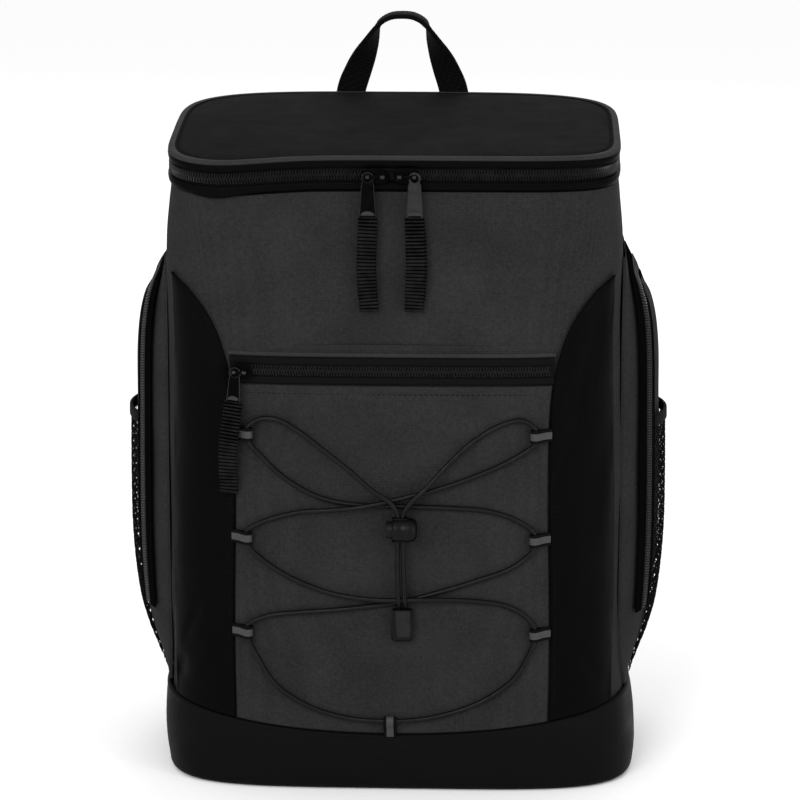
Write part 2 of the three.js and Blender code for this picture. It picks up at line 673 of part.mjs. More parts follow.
// The pocket cloth's outer face, and a frame that lies on it
const clothOut = (x, z) => pocketOut(x, z) + FRONT_CLOTH;
const onCloth = (x, z, height) => [x, frontY(x, z, clothOut(x, z) + height), z];

function clothFrame(x, z, [right, up], height) {
  const [ahead, behind] = [onCloth(x + right, z + up, height), onCloth(x - right, z - up, height)];
  const first = new THREE.Vector3(...ahead).sub(new THREE.Vector3(...behind)).normalize();
  const level = new THREE.Vector3(up, 0, -right);
  const out = new THREE.Vector3().crossVectors(level, first).normalize();
  const third = new THREE.Vector3().crossVectors(first, out);
  return new THREE.Matrix4().makeBasis(first, out, third).setPosition(...onCloth(x, z, height));
}

// Cord loop: a fold of webbing, its root under the wing's edge, its bend round the cord
const LOOP_HOLE = CORD_DIAMETER / 2 + 0.6;
const CORD_IN_LOOP = LOOP_WEBBING + LOOP_HOLE;
function cordLoop() {
  const bend = LOOP_LENGTH - CORD_IN_LOOP;
  const outer = new THREE.Shape();
  outer.moveTo(0, 0).lineTo(bend, 0).absarc(bend, CORD_IN_LOOP, CORD_IN_LOOP, -Math.PI / 2, Math.PI / 2, false);
  outer.lineTo(0, LOOP_WEBBING * 2 + GAP);
  const hole = new THREE.Path();
  hole.absarc(bend, CORD_IN_LOOP, LOOP_HOLE, Math.PI * 0.6, -Math.PI * 0.6, true);
  hole.lineTo(bend * 0.4, LOOP_WEBBING + GAP);
  outer.holes.push(hole);
  const geometry = new THREE.ExtrudeGeometry(outer, { depth: LOOP_WIDTH, bevelEnabled: false, curveSegments: 5 });
  return geometry.translate(0, 0, -LOOP_WIDTH / 2);
}

// Each loop's root and the way it points: across and up
const LOOPS = {
  left_1: { x: -101.6, z: 243.5, way: [1, 0] },
  left_2: { x: -102.4, z: 173.5, way: [1, 0] },
  left_3: { x: -102.6, z: 109, way: [1, 0] },
  right_1: { x: 101.6, z: 243.5, way: [-1, 0] },
  right_2: { x: 101.4, z: 173.5, way: [-1, 0] },
  right_3: { x: 102, z: 109, way: [-1, 0] },
  bottom: { x: -0.8, z: 40.4, way: [0, 1] },
};
const loopFrame = ({ x, z, way }) => clothFrame(x, z, way, GAP);

// Three points of the cord where it runs through a loop, in the given sense along the loop's width
function through(name, sense) {
  const frame = loopFrame(LOOPS[name]);
  const past = LOOP_WIDTH / 2 + 0.6;
  return [-past, 0, past].map((along) => new THREE.Vector3(LOOP_LENGTH - CORD_IN_LOOP, CORD_IN_LOOP, along * sense).applyMatrix4(frame));
}

// The cord's route: a loop and the sense through it, or across, up and how many cord layers above the cloth
const LOCK_LAYER = (LOCK_RADIUS - CORD_DIAMETER / 2) / CORD_LAYER;
const CORD_ROUTE = [
  [TAIL_LEFT_X + 1, CAP_TOP + 1, 0.55], [TAIL_LEFT_X + 0.6, 138, 1.7], [TAIL_LEFT_X, 160, LOCK_LAYER],
  [TAIL_LEFT_X, LOCK_Z, LOCK_LAYER], [TAIL_LEFT_X, 193, LOCK_LAYER], [0, 201, 2], [-12, 209, 1.9],
  [-26, 220.8, 1.2], [-45, 235, 0.5], [-60, 246, 0.1], [-74, 253.4, 0], [-85, 253.6, 0.1], ["left_1", 1],
  [-85, 229, 0.1], [-72, 216.6, 0], [-50, 203.6, 0],
  [-27, 198.2, 0], [6, 197, 0], [38, 196, 0], [64, 193.6, 0], [82, 187, 0.05], ["right_2", -1],
  [87, 160.6, 0.1], [76, 153.6, 0], [58, 147.4, 0], [38, 141, 0], [6, 132.2, 0],
  [-34, 126.4, 0], [-60, 123.8, 0], [-81, 120.4, 0.05], ["left_3", 1], [-89, 92, 0.1],
  [-76.6, 73, 0], [-54, 58.4, 0], [-27, 50.6, 0.1], ["bottom", 1], [27, 52, 0.1], [58, 62.4, 0],
  [81, 78.6, 0], [90, 94, 0.1], ["right_3", 1], [87, 122.6, 0.1], [74, 129.6, 0], [46, 133.8, 0.3],
  [20, 134.8, 1], [-12, 134.6, 1], [-40, 138, 0.3], [-66, 147.4, 0], [-84, 158.4, 0.1], ["left_2", -1],
  [-83, 185, 0.1], [-60, 192, 0.1], [-40, 194.4, 0.7], [-20, 197, 1], [10, 204, 1], [38, 211.6, 0.6],
  [70, 223.6, 0], [86, 232.4, 0.1], ["right_1", 1], [85, 254, 0.1], [72, 251.4, 0.05],
  [54, 241, 0.2], [38, 226.8, 0.9], [22, 210, 1.9], [12.6, 201, 2], [TAIL_RIGHT_X, 193, LOCK_LAYER],
  [TAIL_RIGHT_X, LOCK_Z, LOCK_LAYER], [TAIL_RIGHT_X + 0.2, 160, LOCK_LAYER], [TAIL_RIGHT_X + 1, 138, 1.7],
  [TAIL_RIGHT_X + 1.4, CAP_TOP + 1, 0.55],
];

// A smooth curve whose sections fall evenly between its points, so that tight turns get as many as long runs
class Route extends THREE.CatmullRomCurve3 {
  getPointAt(u, target) {
    return this.getPoint(u, target);
  }
  getTangentAt(u, target) {
    return this.getTangent(u, target);
  }
}

function bungeeCord() {
  const radius = CORD_DIAMETER / 2;
  const points = CORD_ROUTE.flatMap(([x, z, layer]) => (
    x in LOOPS ? through(x, z) : [new THREE.Vector3(...onCloth(x, z, GAP + radius + layer * CORD_LAYER))]
  ));
  const round = new THREE.Shape(steps(5, (_, i) => {
    const turn = (i / 6) * 2 * Math.PI;
    return new THREE.Vector2(radius * Math.cos(turn), radius * Math.sin(turn));
  }));
  const extrudePath = new Route(points);
  return new THREE.ExtrudeGeometry(round, { steps: points.length - 1, extrudePath });
}

// Cord lock: a barrel on its side, closed at its right end, with a sprung button in its left end
const LOCK_OUT = GAP + LOCK_RADIUS;
const CORD_HOLE_LOW = TAIL_LEFT_X - CORD_DIAMETER / 2 - 0.7;
const CORD_HOLE_HIGH = TAIL_RIGHT_X + CORD_DIAMETER / 2 + 0.7;
function turned(profile) {
  const lathe = new THREE.LatheGeometry(profile.map(([radius, x]) => new THREE.Vector2(radius, x)), 16);
  return lathe.rotateZ(-Math.PI / 2);
}

function cordHole(low, high) {
  const half = CORD_DIAMETER / 2 + 0.5;
  const outline = new THREE.Shape();
  outline.moveTo(low + half / 2, -half).lineTo(high - half / 2, -half).lineTo(high, -half / 2).lineTo(high, half / 2);
  outline.lineTo(high - half / 2, half).lineTo(low + half / 2, half).lineTo(low, half / 2).lineTo(low, -half / 2);
  const depth = 4 * LOCK_RADIUS;
  return new THREE.ExtrudeGeometry(outline, { depth, bevelEnabled: false }).translate(0, 0, -depth / 2);
}

function lockBarrel() {
  const [l, r, x0, x1] = [LOCK_WALL, LOCK_RADIUS, LOCK_LEFT, LOCK_RIGHT];
  const bore = BUTTON_RADIUS + 0.4;
  const profile = [[0, x1 - l], [bore, x1 - l], [bore, x0], [r - 1, x0], [r, x0 + 1.4], [r, x1 - 2.6], [r * 0.72, x1], [0, x1]];
  return shapeOf(solid(turned(profile)).subtract(solid(cordHole(CORD_HOLE_LOW, CORD_HOLE_HIGH))));
}

function lockButton() {
  const [r, x0, x1] = [BUTTON_RADIUS, LOCK_LEFT - BUTTON_OUT, LOCK_RIGHT - LOCK_WALL - BUTTON_TRAVEL - GAP];
  const profile = [[0, x0], [r - 1.2, x0], [r, x0 + 1], [r, x1], [0, x1]];
  return shapeOf(solid(turned(profile)).subtract(solid(cordHole(CORD_HOLE_LOW - BUTTON_TRAVEL, CORD_HOLE_HIGH))));
}

// End cap of the two tails: a wedge that widens and thickens downwards
function endCap() {
  const ring = (share, depth) => {
    const half = (CAP_WIDTH / 2) * share;
    const [low, high] = [-CAP_HEIGHT * (0.5 + share / 2), -CAP_HEIGHT * (0.5 - share / 2)];
    return [[-half * 0.94, high], [half * 0.94, high], [half, low + 2.4], [half - 2, low], [2 - half, low], [-half, low + 2.4]]
      .map(([x, z]) => [x, -depth, z]);
  };
  return loft([ring(0.94, 0), ring(1, 1), ring(1, CAP_THICKNESS - 2), ring(0.86, CAP_THICKNESS)]);
}

// Grab handle: a strap flat against the back at its feet, and turned edge-on where it arches over the lid
const HANDLE_ROWS = [
  { x: 1, z: HANDLE_FOOT, turn: 0, width: 1 },
  { x: 1, z: mix(HANDLE_FOOT, HANDLE_TOP, 0.47), turn: 0, width: 0.84 },
  { x: 0.88, z: mix(HANDLE_FOOT, HANDLE_TOP, 0.63), turn: 0.25, width: 0.86 },
  { x: 0.62, z: mix(HANDLE_FOOT, HANDLE_TOP, 0.81), turn: 0.7, width: 0.94 },
  { x: 0.4, z: mix(HANDLE_FOOT, HANDLE_TOP, 0.95), turn: 1, width: 1 },
  { x: 0.2, z: mix(HANDLE_FOOT, HANDLE_TOP, 0.993), turn: 1, width: 1 },
  { x: 0, z: HANDLE_TOP, turn: 1, width: 1 },
];
function grabHandle() {
  const half = HANDLE_ROWS.map((row) => ({ ...row, x: -row.x }));
  const rows = [...half, ...HANDLE_ROWS.slice(0, -1).reverse()];
  const y = LID_BACK_DEPTH + GAP + HANDLE_THICKNESS / 2;
  const place = (row) => [row.x * HANDLE_HALF_SPAN, row.z];
  return strap(rows.map((row, i) => {
    const [a, b] = [place(rows[Math.max(0, i - 1)]), place(rows[Math.min(rows.length - 1, i + 1)])];
    const long = Math.hypot(b[0] - a[0], b[1] - a[1]);
    const normal = [(b[1] - a[1]) / long, 0, -(b[0] - a[0]) / long];
    const turn = (row.turn * Math.PI) / 2;
    const across = [normal[0] * Math.cos(turn), Math.sin(turn), normal[2] * Math.cos(turn)];
    const out = [-normal[0] * Math.sin(turn), Math.cos(turn), -normal[2] * Math.sin(turn)];
    const [x, z] = place(row);
    return { at: [x, y, z], across, out, width: HANDLE_WIDTH * row.width, thick: HANDLE_THICKNESS };
  }));
}

// Back: a padded panel, and on each side a padded strap, its buckle and its webbing
function backY(x, z, out) {
  const s = section(z);
  const share = clamp(Math.abs(x - s.shift) / (s.width + out), 0, 0.9995);
  return (s.back + out) * (1 - share ** s.squareBack) ** (1 / s.squareBack);
}

// A place on the pad: 0 on its inner face and 1 on its outer one, thinner towards the edges
function padY(x, z, outer) {
  const up = (z - BACK_PAD_LOW) / (BACK_PAD_HIGH - BACK_PAD_LOW);
  const full = (1 - (x / BACK_PAD_HALF_WIDTH) ** 6) * (1 - (2 * up - 1) ** 6);
  return backY(x, z, SKIN_GAP + outer * BACK_PAD * mix(0.35, 1, full));
}

function backPad() {
  const grid = (outer) => steps(8, (up) => {
    const z = mix(BACK_PAD_LOW, BACK_PAD_HIGH, up);
    return columns(-BACK_PAD_HALF_WIDTH, BACK_PAD_HALF_WIDTH, z, 12, "squareBack").map((x) => [x, padY(x, z, outer), z]);
  });
  return sheet(grid(1), grid(0));
}
const STRAP_ROWS = [
  { down: 0, spread: 0.8, reach: 0, width: 0.86, thick: 0.8 },
  { down: 0.06, spread: 0.84, reach: 0.32, width: 0.92, thick: 1 },
  { down: 0.18, spread: 0.92, reach: 0.66, width: 1, thick: 1 },
  { down: 0.36, spread: 1, reach: 0.93, width: 1, thick: 1 },
  { down: 0.55, spread: 1.06, reach: 1, width: 0.98, thick: 1 },
  { down: 0.75, spread: 1.1, reach: 0.86, width: 0.9, thick: 1 },
  { down: 0.92, spread: 1.14, reach: 0.56, width: 0.74, thick: 0.9 },
  { down: 1, spread: 1.16, reach: 0.38, width: 0.6, thick: 0.6 },
];
function strapPlace(side, row) {
  const inner = padY(0, STRAP_TOP, 1) + GAP + (STRAP_ROWS[0].thick * STRAP_THICKNESS) / 2;
  return [side * STRAP_HALF_SPREAD * row.spread, inner + row.reach * STRAP_REACH, mix(STRAP_TOP, STRAP_END, row.down)];
}

// The way out of a strap's face, from the places before and after it
function strapOut(before, after) {
  const [dy, dz] = [after[1] - before[1], after[2] - before[2]];
  const long = Math.hypot(dy, dz);
  return [0, -dz / long, dy / long];
}

function shoulderStrap(side) {
  return strap(STRAP_ROWS.map((row, i) => {
    const [before, after] = [STRAP_ROWS[Math.max(0, i - 1)], STRAP_ROWS[Math.min(STRAP_ROWS.length - 1, i + 1)]];
    const out = i ? strapOut(strapPlace(side, before), strapPlace(side, after)) : [0, 1, 0];
    const [width, thick] = [STRAP_WIDTH * row.width, STRAP_THICKNESS * row.thick];
    return { at: strapPlace(side, row), across: [1, 0, 0], out, width, thick };
  }));
}

// The line from the strap's end to the webbing's foot on the body
const strapEnd = (side) => strapPlace(side, STRAP_ROWS[STRAP_ROWS.length - 1]);
const webbingFoot = (side) => [side * WEBBING_FOOT_X, BODY_BACK_DEPTH + WEBBING_THICKNESS, WEBBING_FOOT];
function webbingLine(side) {
  const [from, to] = [new THREE.Vector3(...strapEnd(side)), new THREE.Vector3(...webbingFoot(side))];
  const along = to.clone().sub(from).normalize();
  return { from, to, along };
}

function strapBuckle(side) {
  const [w, h, cut] = [BUCKLE_WIDTH / 2, BUCKLE_HEIGHT / 2, 2.5];
  const frame = new THREE.Shape();
  frame.moveTo(cut - w, -h).lineTo(w - cut, -h).lineTo(w, cut - h).lineTo(w, h - cut);
  frame.lineTo(w - cut, h).lineTo(cut - w, h).lineTo(-w, h - cut).lineTo(-w, cut - h);
  for (const middle of [-BUCKLE_HEIGHT * 0.22, BUCKLE_HEIGHT * 0.22]) {
    const slot = new THREE.Path();
    const [half, low, high] = [WEBBING_WIDTH / 2 + 0.8, middle - BUCKLE_SLOT / 2, middle + BUCKLE_SLOT / 2];
    slot.moveTo(-half, low).lineTo(half, low).lineTo(half, high).lineTo(-half, high);
    frame.holes.push(slot);
  }
  const geometry = new THREE.ExtrudeGeometry(frame, { depth: BUCKLE_THICKNESS, bevelEnabled: false });
  geometry.translate(0, 0, -BUCKLE_THICKNESS / 2);
  const { from, along } = webbingLine(side);
  const up = along.clone().negate();
  const across = new THREE.Vector3(1, 0, 0).addScaledVector(up, -up.x).normalize();
  const out = new THREE.Vector3().crossVectors(across, up);
  const middle = from.clone().addScaledVector(along, BUCKLE_DROP + h);
  return geometry.applyMatrix4(new THREE.Matrix4().makeBasis(across, up, out).setPosition(middle));
}

function strapWebbing(side) {
  const { from, to, along } = webbingLine(side);
  const start = from.clone().addScaledVector(along, BUCKLE_DROP + BUCKLE_HEIGHT + GAP);
  const across = new THREE.Vector3(1, 0, 0).addScaledVector(along, -along.x).normalize();
  const out = new THREE.Vector3().crossVectors(along, across);
  const row = (at) => ({ at: at.toArray(), across: across.toArray(), out: out.toArray(), width: WEBBING_WIDTH, thick: WEBBING_THICKNESS });
  return strap([row(start), row(to)]);
}

// The whole bag
const bag = new THREE.Group();

function add(name, colour, geometry, parent = bag) {
  const [color, roughness, metalness] = COLOURS[colour];
  const mesh = new THREE.Mesh(geometry, new THREE.MeshStandardMaterial({ color, roughness, metalness }));
  mesh.name = name;
  parent.add(mesh);
  return mesh;
}

// A slider on its zip with its pull and ribbon, turned to the cloth, and the pull leaning as it hangs
function zipFitting({ name, side, at, turn, length, reach, pullSize, rest, lean, colour, bow }) {
  const zip = new THREE.Group();
  zip.position.set(...at);
  zip.rotation.z = turn;
  add(`${name}_slider`, "dark_metal", slider(side, length, reach), zip);
  const hanging = new THREE.Group();
  hanging.position.set(eyeX(side, length, reach), -BAR_OUT, 0);
  hanging.rotation.set(rest, lean, 0, "YXZ");
  add(`${name}_pull`, colour, pull(...pullSize), hanging);
  add(`${name}_ribbon`, "black_webbing", ribbon(pullSize[0], bow), hanging);
  zip.add(hanging);
  bag.add(zip);
}

const lidZipFront = -(LID_FRONT_DEPTH - ZIP_INSET + GAP + COIL_DEPTH + GAP);
const lidPullSize = [PULL_LENGTH, PULL_WIDTH, PULL_NECK_WIDTH];
const lidZip = { turn: 0, length: SLIDER_LENGTH, reach: BRIDGE_LENGTH, pullSize: lidPullSize, rest: PULL_REST, lean: 0 };
const lidSliderAt = (x) => [x, lidZipFront, ZIP_MIDDLE_Z + lidLift(x, -LID_FRONT_DEPTH)];
const pocketZipOut = COIL_OUT + GAP;
const pocketReach = POCKET_SLIDER_LENGTH * 0.68;
const pocketTurn = Math.atan(
  (frontY(POCKET_SLIDER_X + 5, POCKET_ZIP_MIDDLE, pocketZipOut) - frontY(POCKET_SLIDER_X - 5, POCKET_ZIP_MIDDLE, pocketZipOut)) / 10,
);
const pocketSliderY = frontY(POCKET_SLIDER_X, POCKET_ZIP_MIDDLE, pocketZipOut) - 0.5;

add("main_body", "grey_cloth", mainBody());
add("base_boot", "coated_cloth", baseBoot());
add("lid_lower_binding", "coated_cloth", band(LOWER_BINDING_FOOT, LOWER_BINDING_HEIGHT, 0, BAND_CLOTH));
add("lid_upper_binding", "coated_cloth", band(UPPER_BINDING_FOOT, UPPER_BINDING_HEIGHT, 0, BAND_CLOTH));
add("lid_panel", "grey_cloth", lidPanel());
const zipArc = [Math.PI - ZIP_END_ANGLE, 2 * Math.PI + ZIP_END_ANGLE];
const hingeArc = [ZIP_END_ANGLE + HINGE_GAP_ANGLE, Math.PI - ZIP_END_ANGLE - HINGE_GAP_ANGLE];
add("lid_zip_tape", "black_webbing", openBand(ZIP_FOOT, LID_ZIP_HEIGHT, ZIP_INSET, TAPE_CLOTH, ...zipArc));
const coilFoot = ZIP_FOOT + (LID_ZIP_HEIGHT - COIL_HEIGHT) / 2;
add("lid_zip_coil", "black_plastic", openBand(coilFoot, COIL_HEIGHT, ZIP_INSET - GAP - COIL_DEPTH, COIL_DEPTH, ...zipArc));
add("lid_hinge_strip", "coated_cloth", openBand(ZIP_FOOT, LID_ZIP_HEIGHT, 0, BAND_CLOTH, ...hingeArc));
zipFitting({ ...lidZip, name: "lid_left", side: -1, at: lidSliderAt(LEFT_SLIDER_X), colour: "dark_metal", bow: 1 });
zipFitting({ ...lidZip, name: "lid_right", side: 1, at: lidSliderAt(RIGHT_SLIDER_X), colour: "grey_metal", bow: -0.6 });

add("front_pocket", "grey_cloth", frontPocket());
const zipMargin = (POCKET_ZIP_HIGH - POCKET_ZIP_LOW - COIL_HEIGHT) / 2;
add("pocket_zip_tape", "black_webbing", frontStrip(POCKET_ZIP_LOW, POCKET_ZIP_HIGH, SKIN_GAP, SKIN_GAP + TAPE_CLOTH, 1));
add("pocket_zip_coil", "black_plastic",
  frontStrip(POCKET_ZIP_LOW + zipMargin, POCKET_ZIP_HIGH - zipMargin, GAP + SKIN_GAP + TAPE_CLOTH, COIL_OUT, 2));
zipFitting({
  name: "pocket", side: -1, at: [POCKET_SLIDER_X, pocketSliderY, POCKET_ZIP_MIDDLE], turn: pocketTurn,
  length: POCKET_SLIDER_LENGTH, reach: pocketReach, pullSize: [POCKET_PULL_LENGTH, POCKET_PULL_WIDTH, POCKET_PULL_WIDTH * 0.8],
  rest: PULL_REST, lean: POCKET_PULL_LEAN, colour: "dark_metal", bow: 1,
});

const coilIn = SIDE_ZIP_GAP + TAPE_CLOTH + GAP;
for (const [hand, side] of [["left", -1], ["right", 1]]) {
  add(`wing_${hand}`, "coated_cloth", wing(side));
  add(`side_pocket_${hand}`, "grey_cloth", sidePocket(side));
  add(`side_zip_tape_${hand}`, "black_webbing", sideArch(side, SIDE_ZIP_WIDTH, SIDE_ZIP_GAP, SIDE_ZIP_GAP + TAPE_CLOTH));
  add(`side_zip_coil_${hand}`, "black_plastic", sideArch(side, COIL_HEIGHT, coilIn, coilIn + COIL_DEPTH));
  add(`mesh_pocket_${hand}`, "mesh_cloth", meshSheet(side, SIDE_POCKET_LOW + MESH_STAND, MESH_HIGH, 7, MESH_CLOTH));
  add(`mesh_binding_${hand}`, "black_webbing",
    meshSheet(side, MESH_HIGH + GAP, MESH_HIGH + MESH_BINDING, 1, 2 * MESH_CLOTH));
  add(`shoulder_strap_${hand}`, "black_webbing", shoulderStrap(side));
  add(`strap_buckle_${hand}`, "black_plastic", strapBuckle(side));
  add(`strap_webbing_${hand}`, "black_webbing", strapWebbing(side));
}

for (const name in LOOPS) {
  add(`cord_loop_${name}`, "reflective_tape", cordLoop().applyMatrix4(loopFrame(LOOPS[name])));
}
add("bungee_cord", "black_webbing", bungeeCord());
const lockY = onCloth(0, LOCK_Z, LOCK_OUT)[1];
add("lock_barrel", "black_plastic", lockBarrel().translate(0, lockY, LOCK_Z));
add("lock_button", "grey_plastic", lockButton().translate(0, lockY, LOCK_Z));
const capX = (TAIL_LEFT_X + TAIL_RIGHT_X) / 2 + 1.2;
add("cord_end_cap", "grey_plastic", endCap().translate(capX, onCloth(capX, CAP_TOP, GAP)[1], CAP_TOP));
add("grab_handle", "black_webbing", grabHandle());
add("back_pad", "black_webbing", backPad());

export default bag;
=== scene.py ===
# Cooler backpack: cloth shell, laced front pocket, coated wings and base, toothed zips and padded straps.
# Lengths are millimetres, turned into metres where a mesh or curve is made. +X right, -Y front, +Z up.
import math

import bmesh
import bpy
from mathutils import Matrix, Vector, noise
from mathutils.geometry import tessellate_polygon


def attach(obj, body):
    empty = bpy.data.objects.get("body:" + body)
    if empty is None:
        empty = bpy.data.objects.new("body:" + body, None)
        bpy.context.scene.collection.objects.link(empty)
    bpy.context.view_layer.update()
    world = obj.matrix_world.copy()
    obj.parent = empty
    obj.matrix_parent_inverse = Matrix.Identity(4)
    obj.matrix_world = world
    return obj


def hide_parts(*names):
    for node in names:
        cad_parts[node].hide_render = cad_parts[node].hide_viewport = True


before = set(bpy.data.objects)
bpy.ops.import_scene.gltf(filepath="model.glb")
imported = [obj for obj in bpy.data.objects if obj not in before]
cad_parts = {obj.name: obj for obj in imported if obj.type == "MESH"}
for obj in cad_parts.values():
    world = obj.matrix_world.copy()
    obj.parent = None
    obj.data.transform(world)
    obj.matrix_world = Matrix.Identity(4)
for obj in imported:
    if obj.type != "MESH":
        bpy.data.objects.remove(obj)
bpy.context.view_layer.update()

MM = 0.001

# Camera of the photograph
CAMERA_AZIMUTH = 2.2
CAMERA_ELEVATION = 13.5
CAMERA_DISTANCE = 2200
CAMERA_LENS = 146.3
CAMERA_TARGET = (2.0, 0.0, 244.1)

# Body, as in the solid model
BODY_HALF_WIDTH = 154
BODY_FRONT_DEPTH = 93
BODY_BACK_DEPTH = 93
BODY_TOP = 402.3
BODY_WALL = 5
BASE_LEAN = 4
SKIN_GAP = 0.7
FRONT_CLOTH = 2
BOOT_CLOTH = 2.3
SEAM_LOW = 38.5
SEAM_HIGH = 56
SEAM_GAP = 1
BOOT_HEEL = 4.5
BOOT_SWELL = 2.6

# Lid
LID_HALF_WIDTH = 147
LID_DEPTH = 94
LID_SQUARE_FRONT = 7
LID_SQUARE_BACK = 3.9
LID_SLOPE = 0.083
LID_CORNER_SAG = 4.5
LID_FOOT_BINDING = 403.9
LID_ZIP_Z = 413.7
LID_FOOT_UPPER = 418.5
LID_FOOT_PANEL = 423.4

# Front pocket, wings and side pockets
POCKET_PUFF = 3
POCKET_ZIP_LOW = 277
POCKET_ZIP_HIGH = 294.4
HEM_Z = POCKET_ZIP_LOW - 6.6
WING_APEX = 345
WING_INNER_HALF = 104
POCKET_BULGE = 22.5
SIDE_LOW = 58
SIDE_HIGH = 351
SIDE_FRONT = -49
SIDE_BACK = 74
MESH_HIGH = 232

# Cord and its fittings
CORD_DIAMETER = 3.2
CORD_LAYER = 3.6
LOOP_WIDTH = 8.6
LOOP_LENGTH = 12.5
LOOP_WEBBING = 0.9
CORD_IN_LOOP = LOOP_WEBBING + CORD_DIAMETER / 2 + 0.6
LOCK_RADIUS = 7.9
LOCK_Z = 183
TAIL_LEFT_X = 4.4
TAIL_RIGHT_X = 8
CAP_TOP = 128
GAP = 0.3


# Small helpers
def mix(a, b, t):
    return a + (b - a) * t


def clamp(v, low=0.0, high=1.0):
    return max(low, min(high, v))


def ease(t):
    t = clamp(t)
    return t * t * (3 - 2 * t)


def signed_power(v, p):
    return math.copysign(abs(v) ** p, v)


def bell(v, middle, width):
    return math.exp(-(((v - middle) / width) ** 2))


def steps(n):
    return [i / n for i in range(n + 1)]


def hermite(start, end, leaving, arriving, t):
    """A smooth step from start to end with the given slopes at both."""
    begun = (2 * t**3 - 3 * t**2 + 1) * start + (t**3 - 2 * t**2 + t) * leaving
    return begun + (3 * t**2 - 2 * t**3) * end + (t**3 - t**2) * arriving


def look_up(table, key, column):
    """A smooth line through the rows of a table, read at the first column."""
    keys = [row[0] for row in table]
    key = clamp(key, keys[0], keys[-1])
    i = max(k for k in range(len(table) - 1) if keys[k] <= key)
    values = [row[column] for row in table]

    def slope(k):
        if k in (0, len(table) - 1):
            return 0
        return (values[k + 1] - values[k - 1]) / (keys[k + 1] - keys[k - 1])

    span = keys[i + 1] - keys[i]
    return hermite(values[i], values[i + 1], slope(i) * span, slope(i + 1) * span, (key - keys[i]) / span)


# The body's plan at shares of its height: width, front depth, squareness in front and behind, and lean
BODY_ROWS = [
    (0.0, 1.0, 0.993, 4.5, 5.0, 1.0),
    (0.08, 1.0, 0.997, 4.1, 5.0, 0.64),
    (0.15, 1.0, 1.0, 3.7, 5.0, 0.32),
    (0.22, 0.999, 1.0, 3.62, 5.0, 0.08),
    (0.3, 0.998, 1.0, 3.65, 5.0, 0.0),
    (0.45, 0.997, 1.0, 3.7, 5.0, 0.0),
    (0.75, 0.985, 1.0, 4.1, 5.4, 0.0),
    (0.9, 0.97, 0.995, 5.0, 6.0, 0.0),
    (1.0, 0.946, 0.985, 6.5, 6.0, 0.0),
]
_sections = {}


def section(z):
    """The body's plan at a height: half width, depths and squareness in front and behind, and shift."""
    key = round(z, 2)
    if key not in _sections:
        width, depth, front, back, lean = (look_up(BODY_ROWS, key / BODY_TOP, c) for c in range(1, 6))
        depths = (BODY_FRONT_DEPTH * depth, BODY_BACK_DEPTH)
        _sections[key] = (BODY_HALF_WIDTH * width, *depths, front, back, BASE_LEAN * lean)
    return _sections[key]


def lid_lift(x, y):
    corner = bell(x, -LID_HALF_WIDTH * 0.8, LID_HALF_WIDTH * 0.3)
    return LID_SLOPE * (y + LID_DEPTH) - LID_CORNER_SAG * corner * clamp(-y / LID_DEPTH)


def share_root(share, square):
    return (1 - min(share, 0.9995) ** square) ** (1 / square)


def front_y(x, z, out):
    width, front, _, square, _, shift = section(z)
    return -(front + out) * share_root(abs(x - shift) / (width + out), square)


def back_y(x, z, out):
    width, _, back, _, square, shift = section(z)
    return (back + out) * share_root(abs(x - shift) / (width + out), square)


def side_x(y, z, out):
    width, front, back, square_front, square_back, _ = section(z)
    square, depth = (square_front, front) if y < 0 else (square_back, back)
    return (width + out) * share_root(abs(y) / (depth + out), square)


def seam_height(x):
    return mix(SEAM_LOW, SEAM_HIGH, clamp(abs(x) / BODY_HALF_WIDTH) ** 2)


def plan(width, front, back, square_front, square_back, shift, count):
    """Points evenly spaced round a rounded oblong, from the middle of the front, each with its way out."""
    fine = []
    for i in range(1441):
        angle = -math.pi / 2 + i / 1440 * 2 * math.pi
        c, s = math.cos(angle), math.sin(angle)
        square, depth = (square_front, front) if s < 0 else (square_back, back)
        fine.append((shift + width * signed_power(c, 2 / square), depth * signed_power(s, 2 / square)))
    return even(fine, count)


def even(line, count):
    """Points evenly spaced along a closed line in a plane, each with its way out."""
    sums = [0.0]
    for a, b in zip(line, line[1:]):
        sums.append(sums[-1] + math.dist(a, b))
    result, j = [], 0
    for i in range(count):
        want = sums[-1] * i / count
        while sums[j + 1] < want:
            j += 1
        t = (want - sums[j]) / max(1e-9, sums[j + 1] - sums[j])
        result.append((mix(line[j][0], line[j + 1][0], t), mix(line[j][1], line[j + 1][1], t)))
    outs = []
    for i, _ in enumerate(result):
        (ax, ay), (bx, by) = result[i - 1], result[(i + 1) % count]
        long = math.hypot(bx - ax, by - ay)
        outs.append(((by - ay) / long, -(bx - ax) / long))
    return [(*p, *o) for p, o in zip(result, outs)]


def ripple(x, y, z, size, amount, seed):
    return noise.noise(Vector((x / size + seed, y / size, z / size))) * amount


# Meshes
def new_object(name, shape, looks, nodes=(), body="bag", sharp=50, weld=True):
    data = shape.mesh(name, sharp, weld) if isinstance(shape, Shape) else shape
    thing = bpy.data.objects.new(name, data)
    bpy.context.scene.collection.objects.link(thing)
    for look in looks if isinstance(looks, list) else [looks]:
        data.materials.append(look)
    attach(thing, body)
    if nodes:
        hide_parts(*nodes)
    return thing


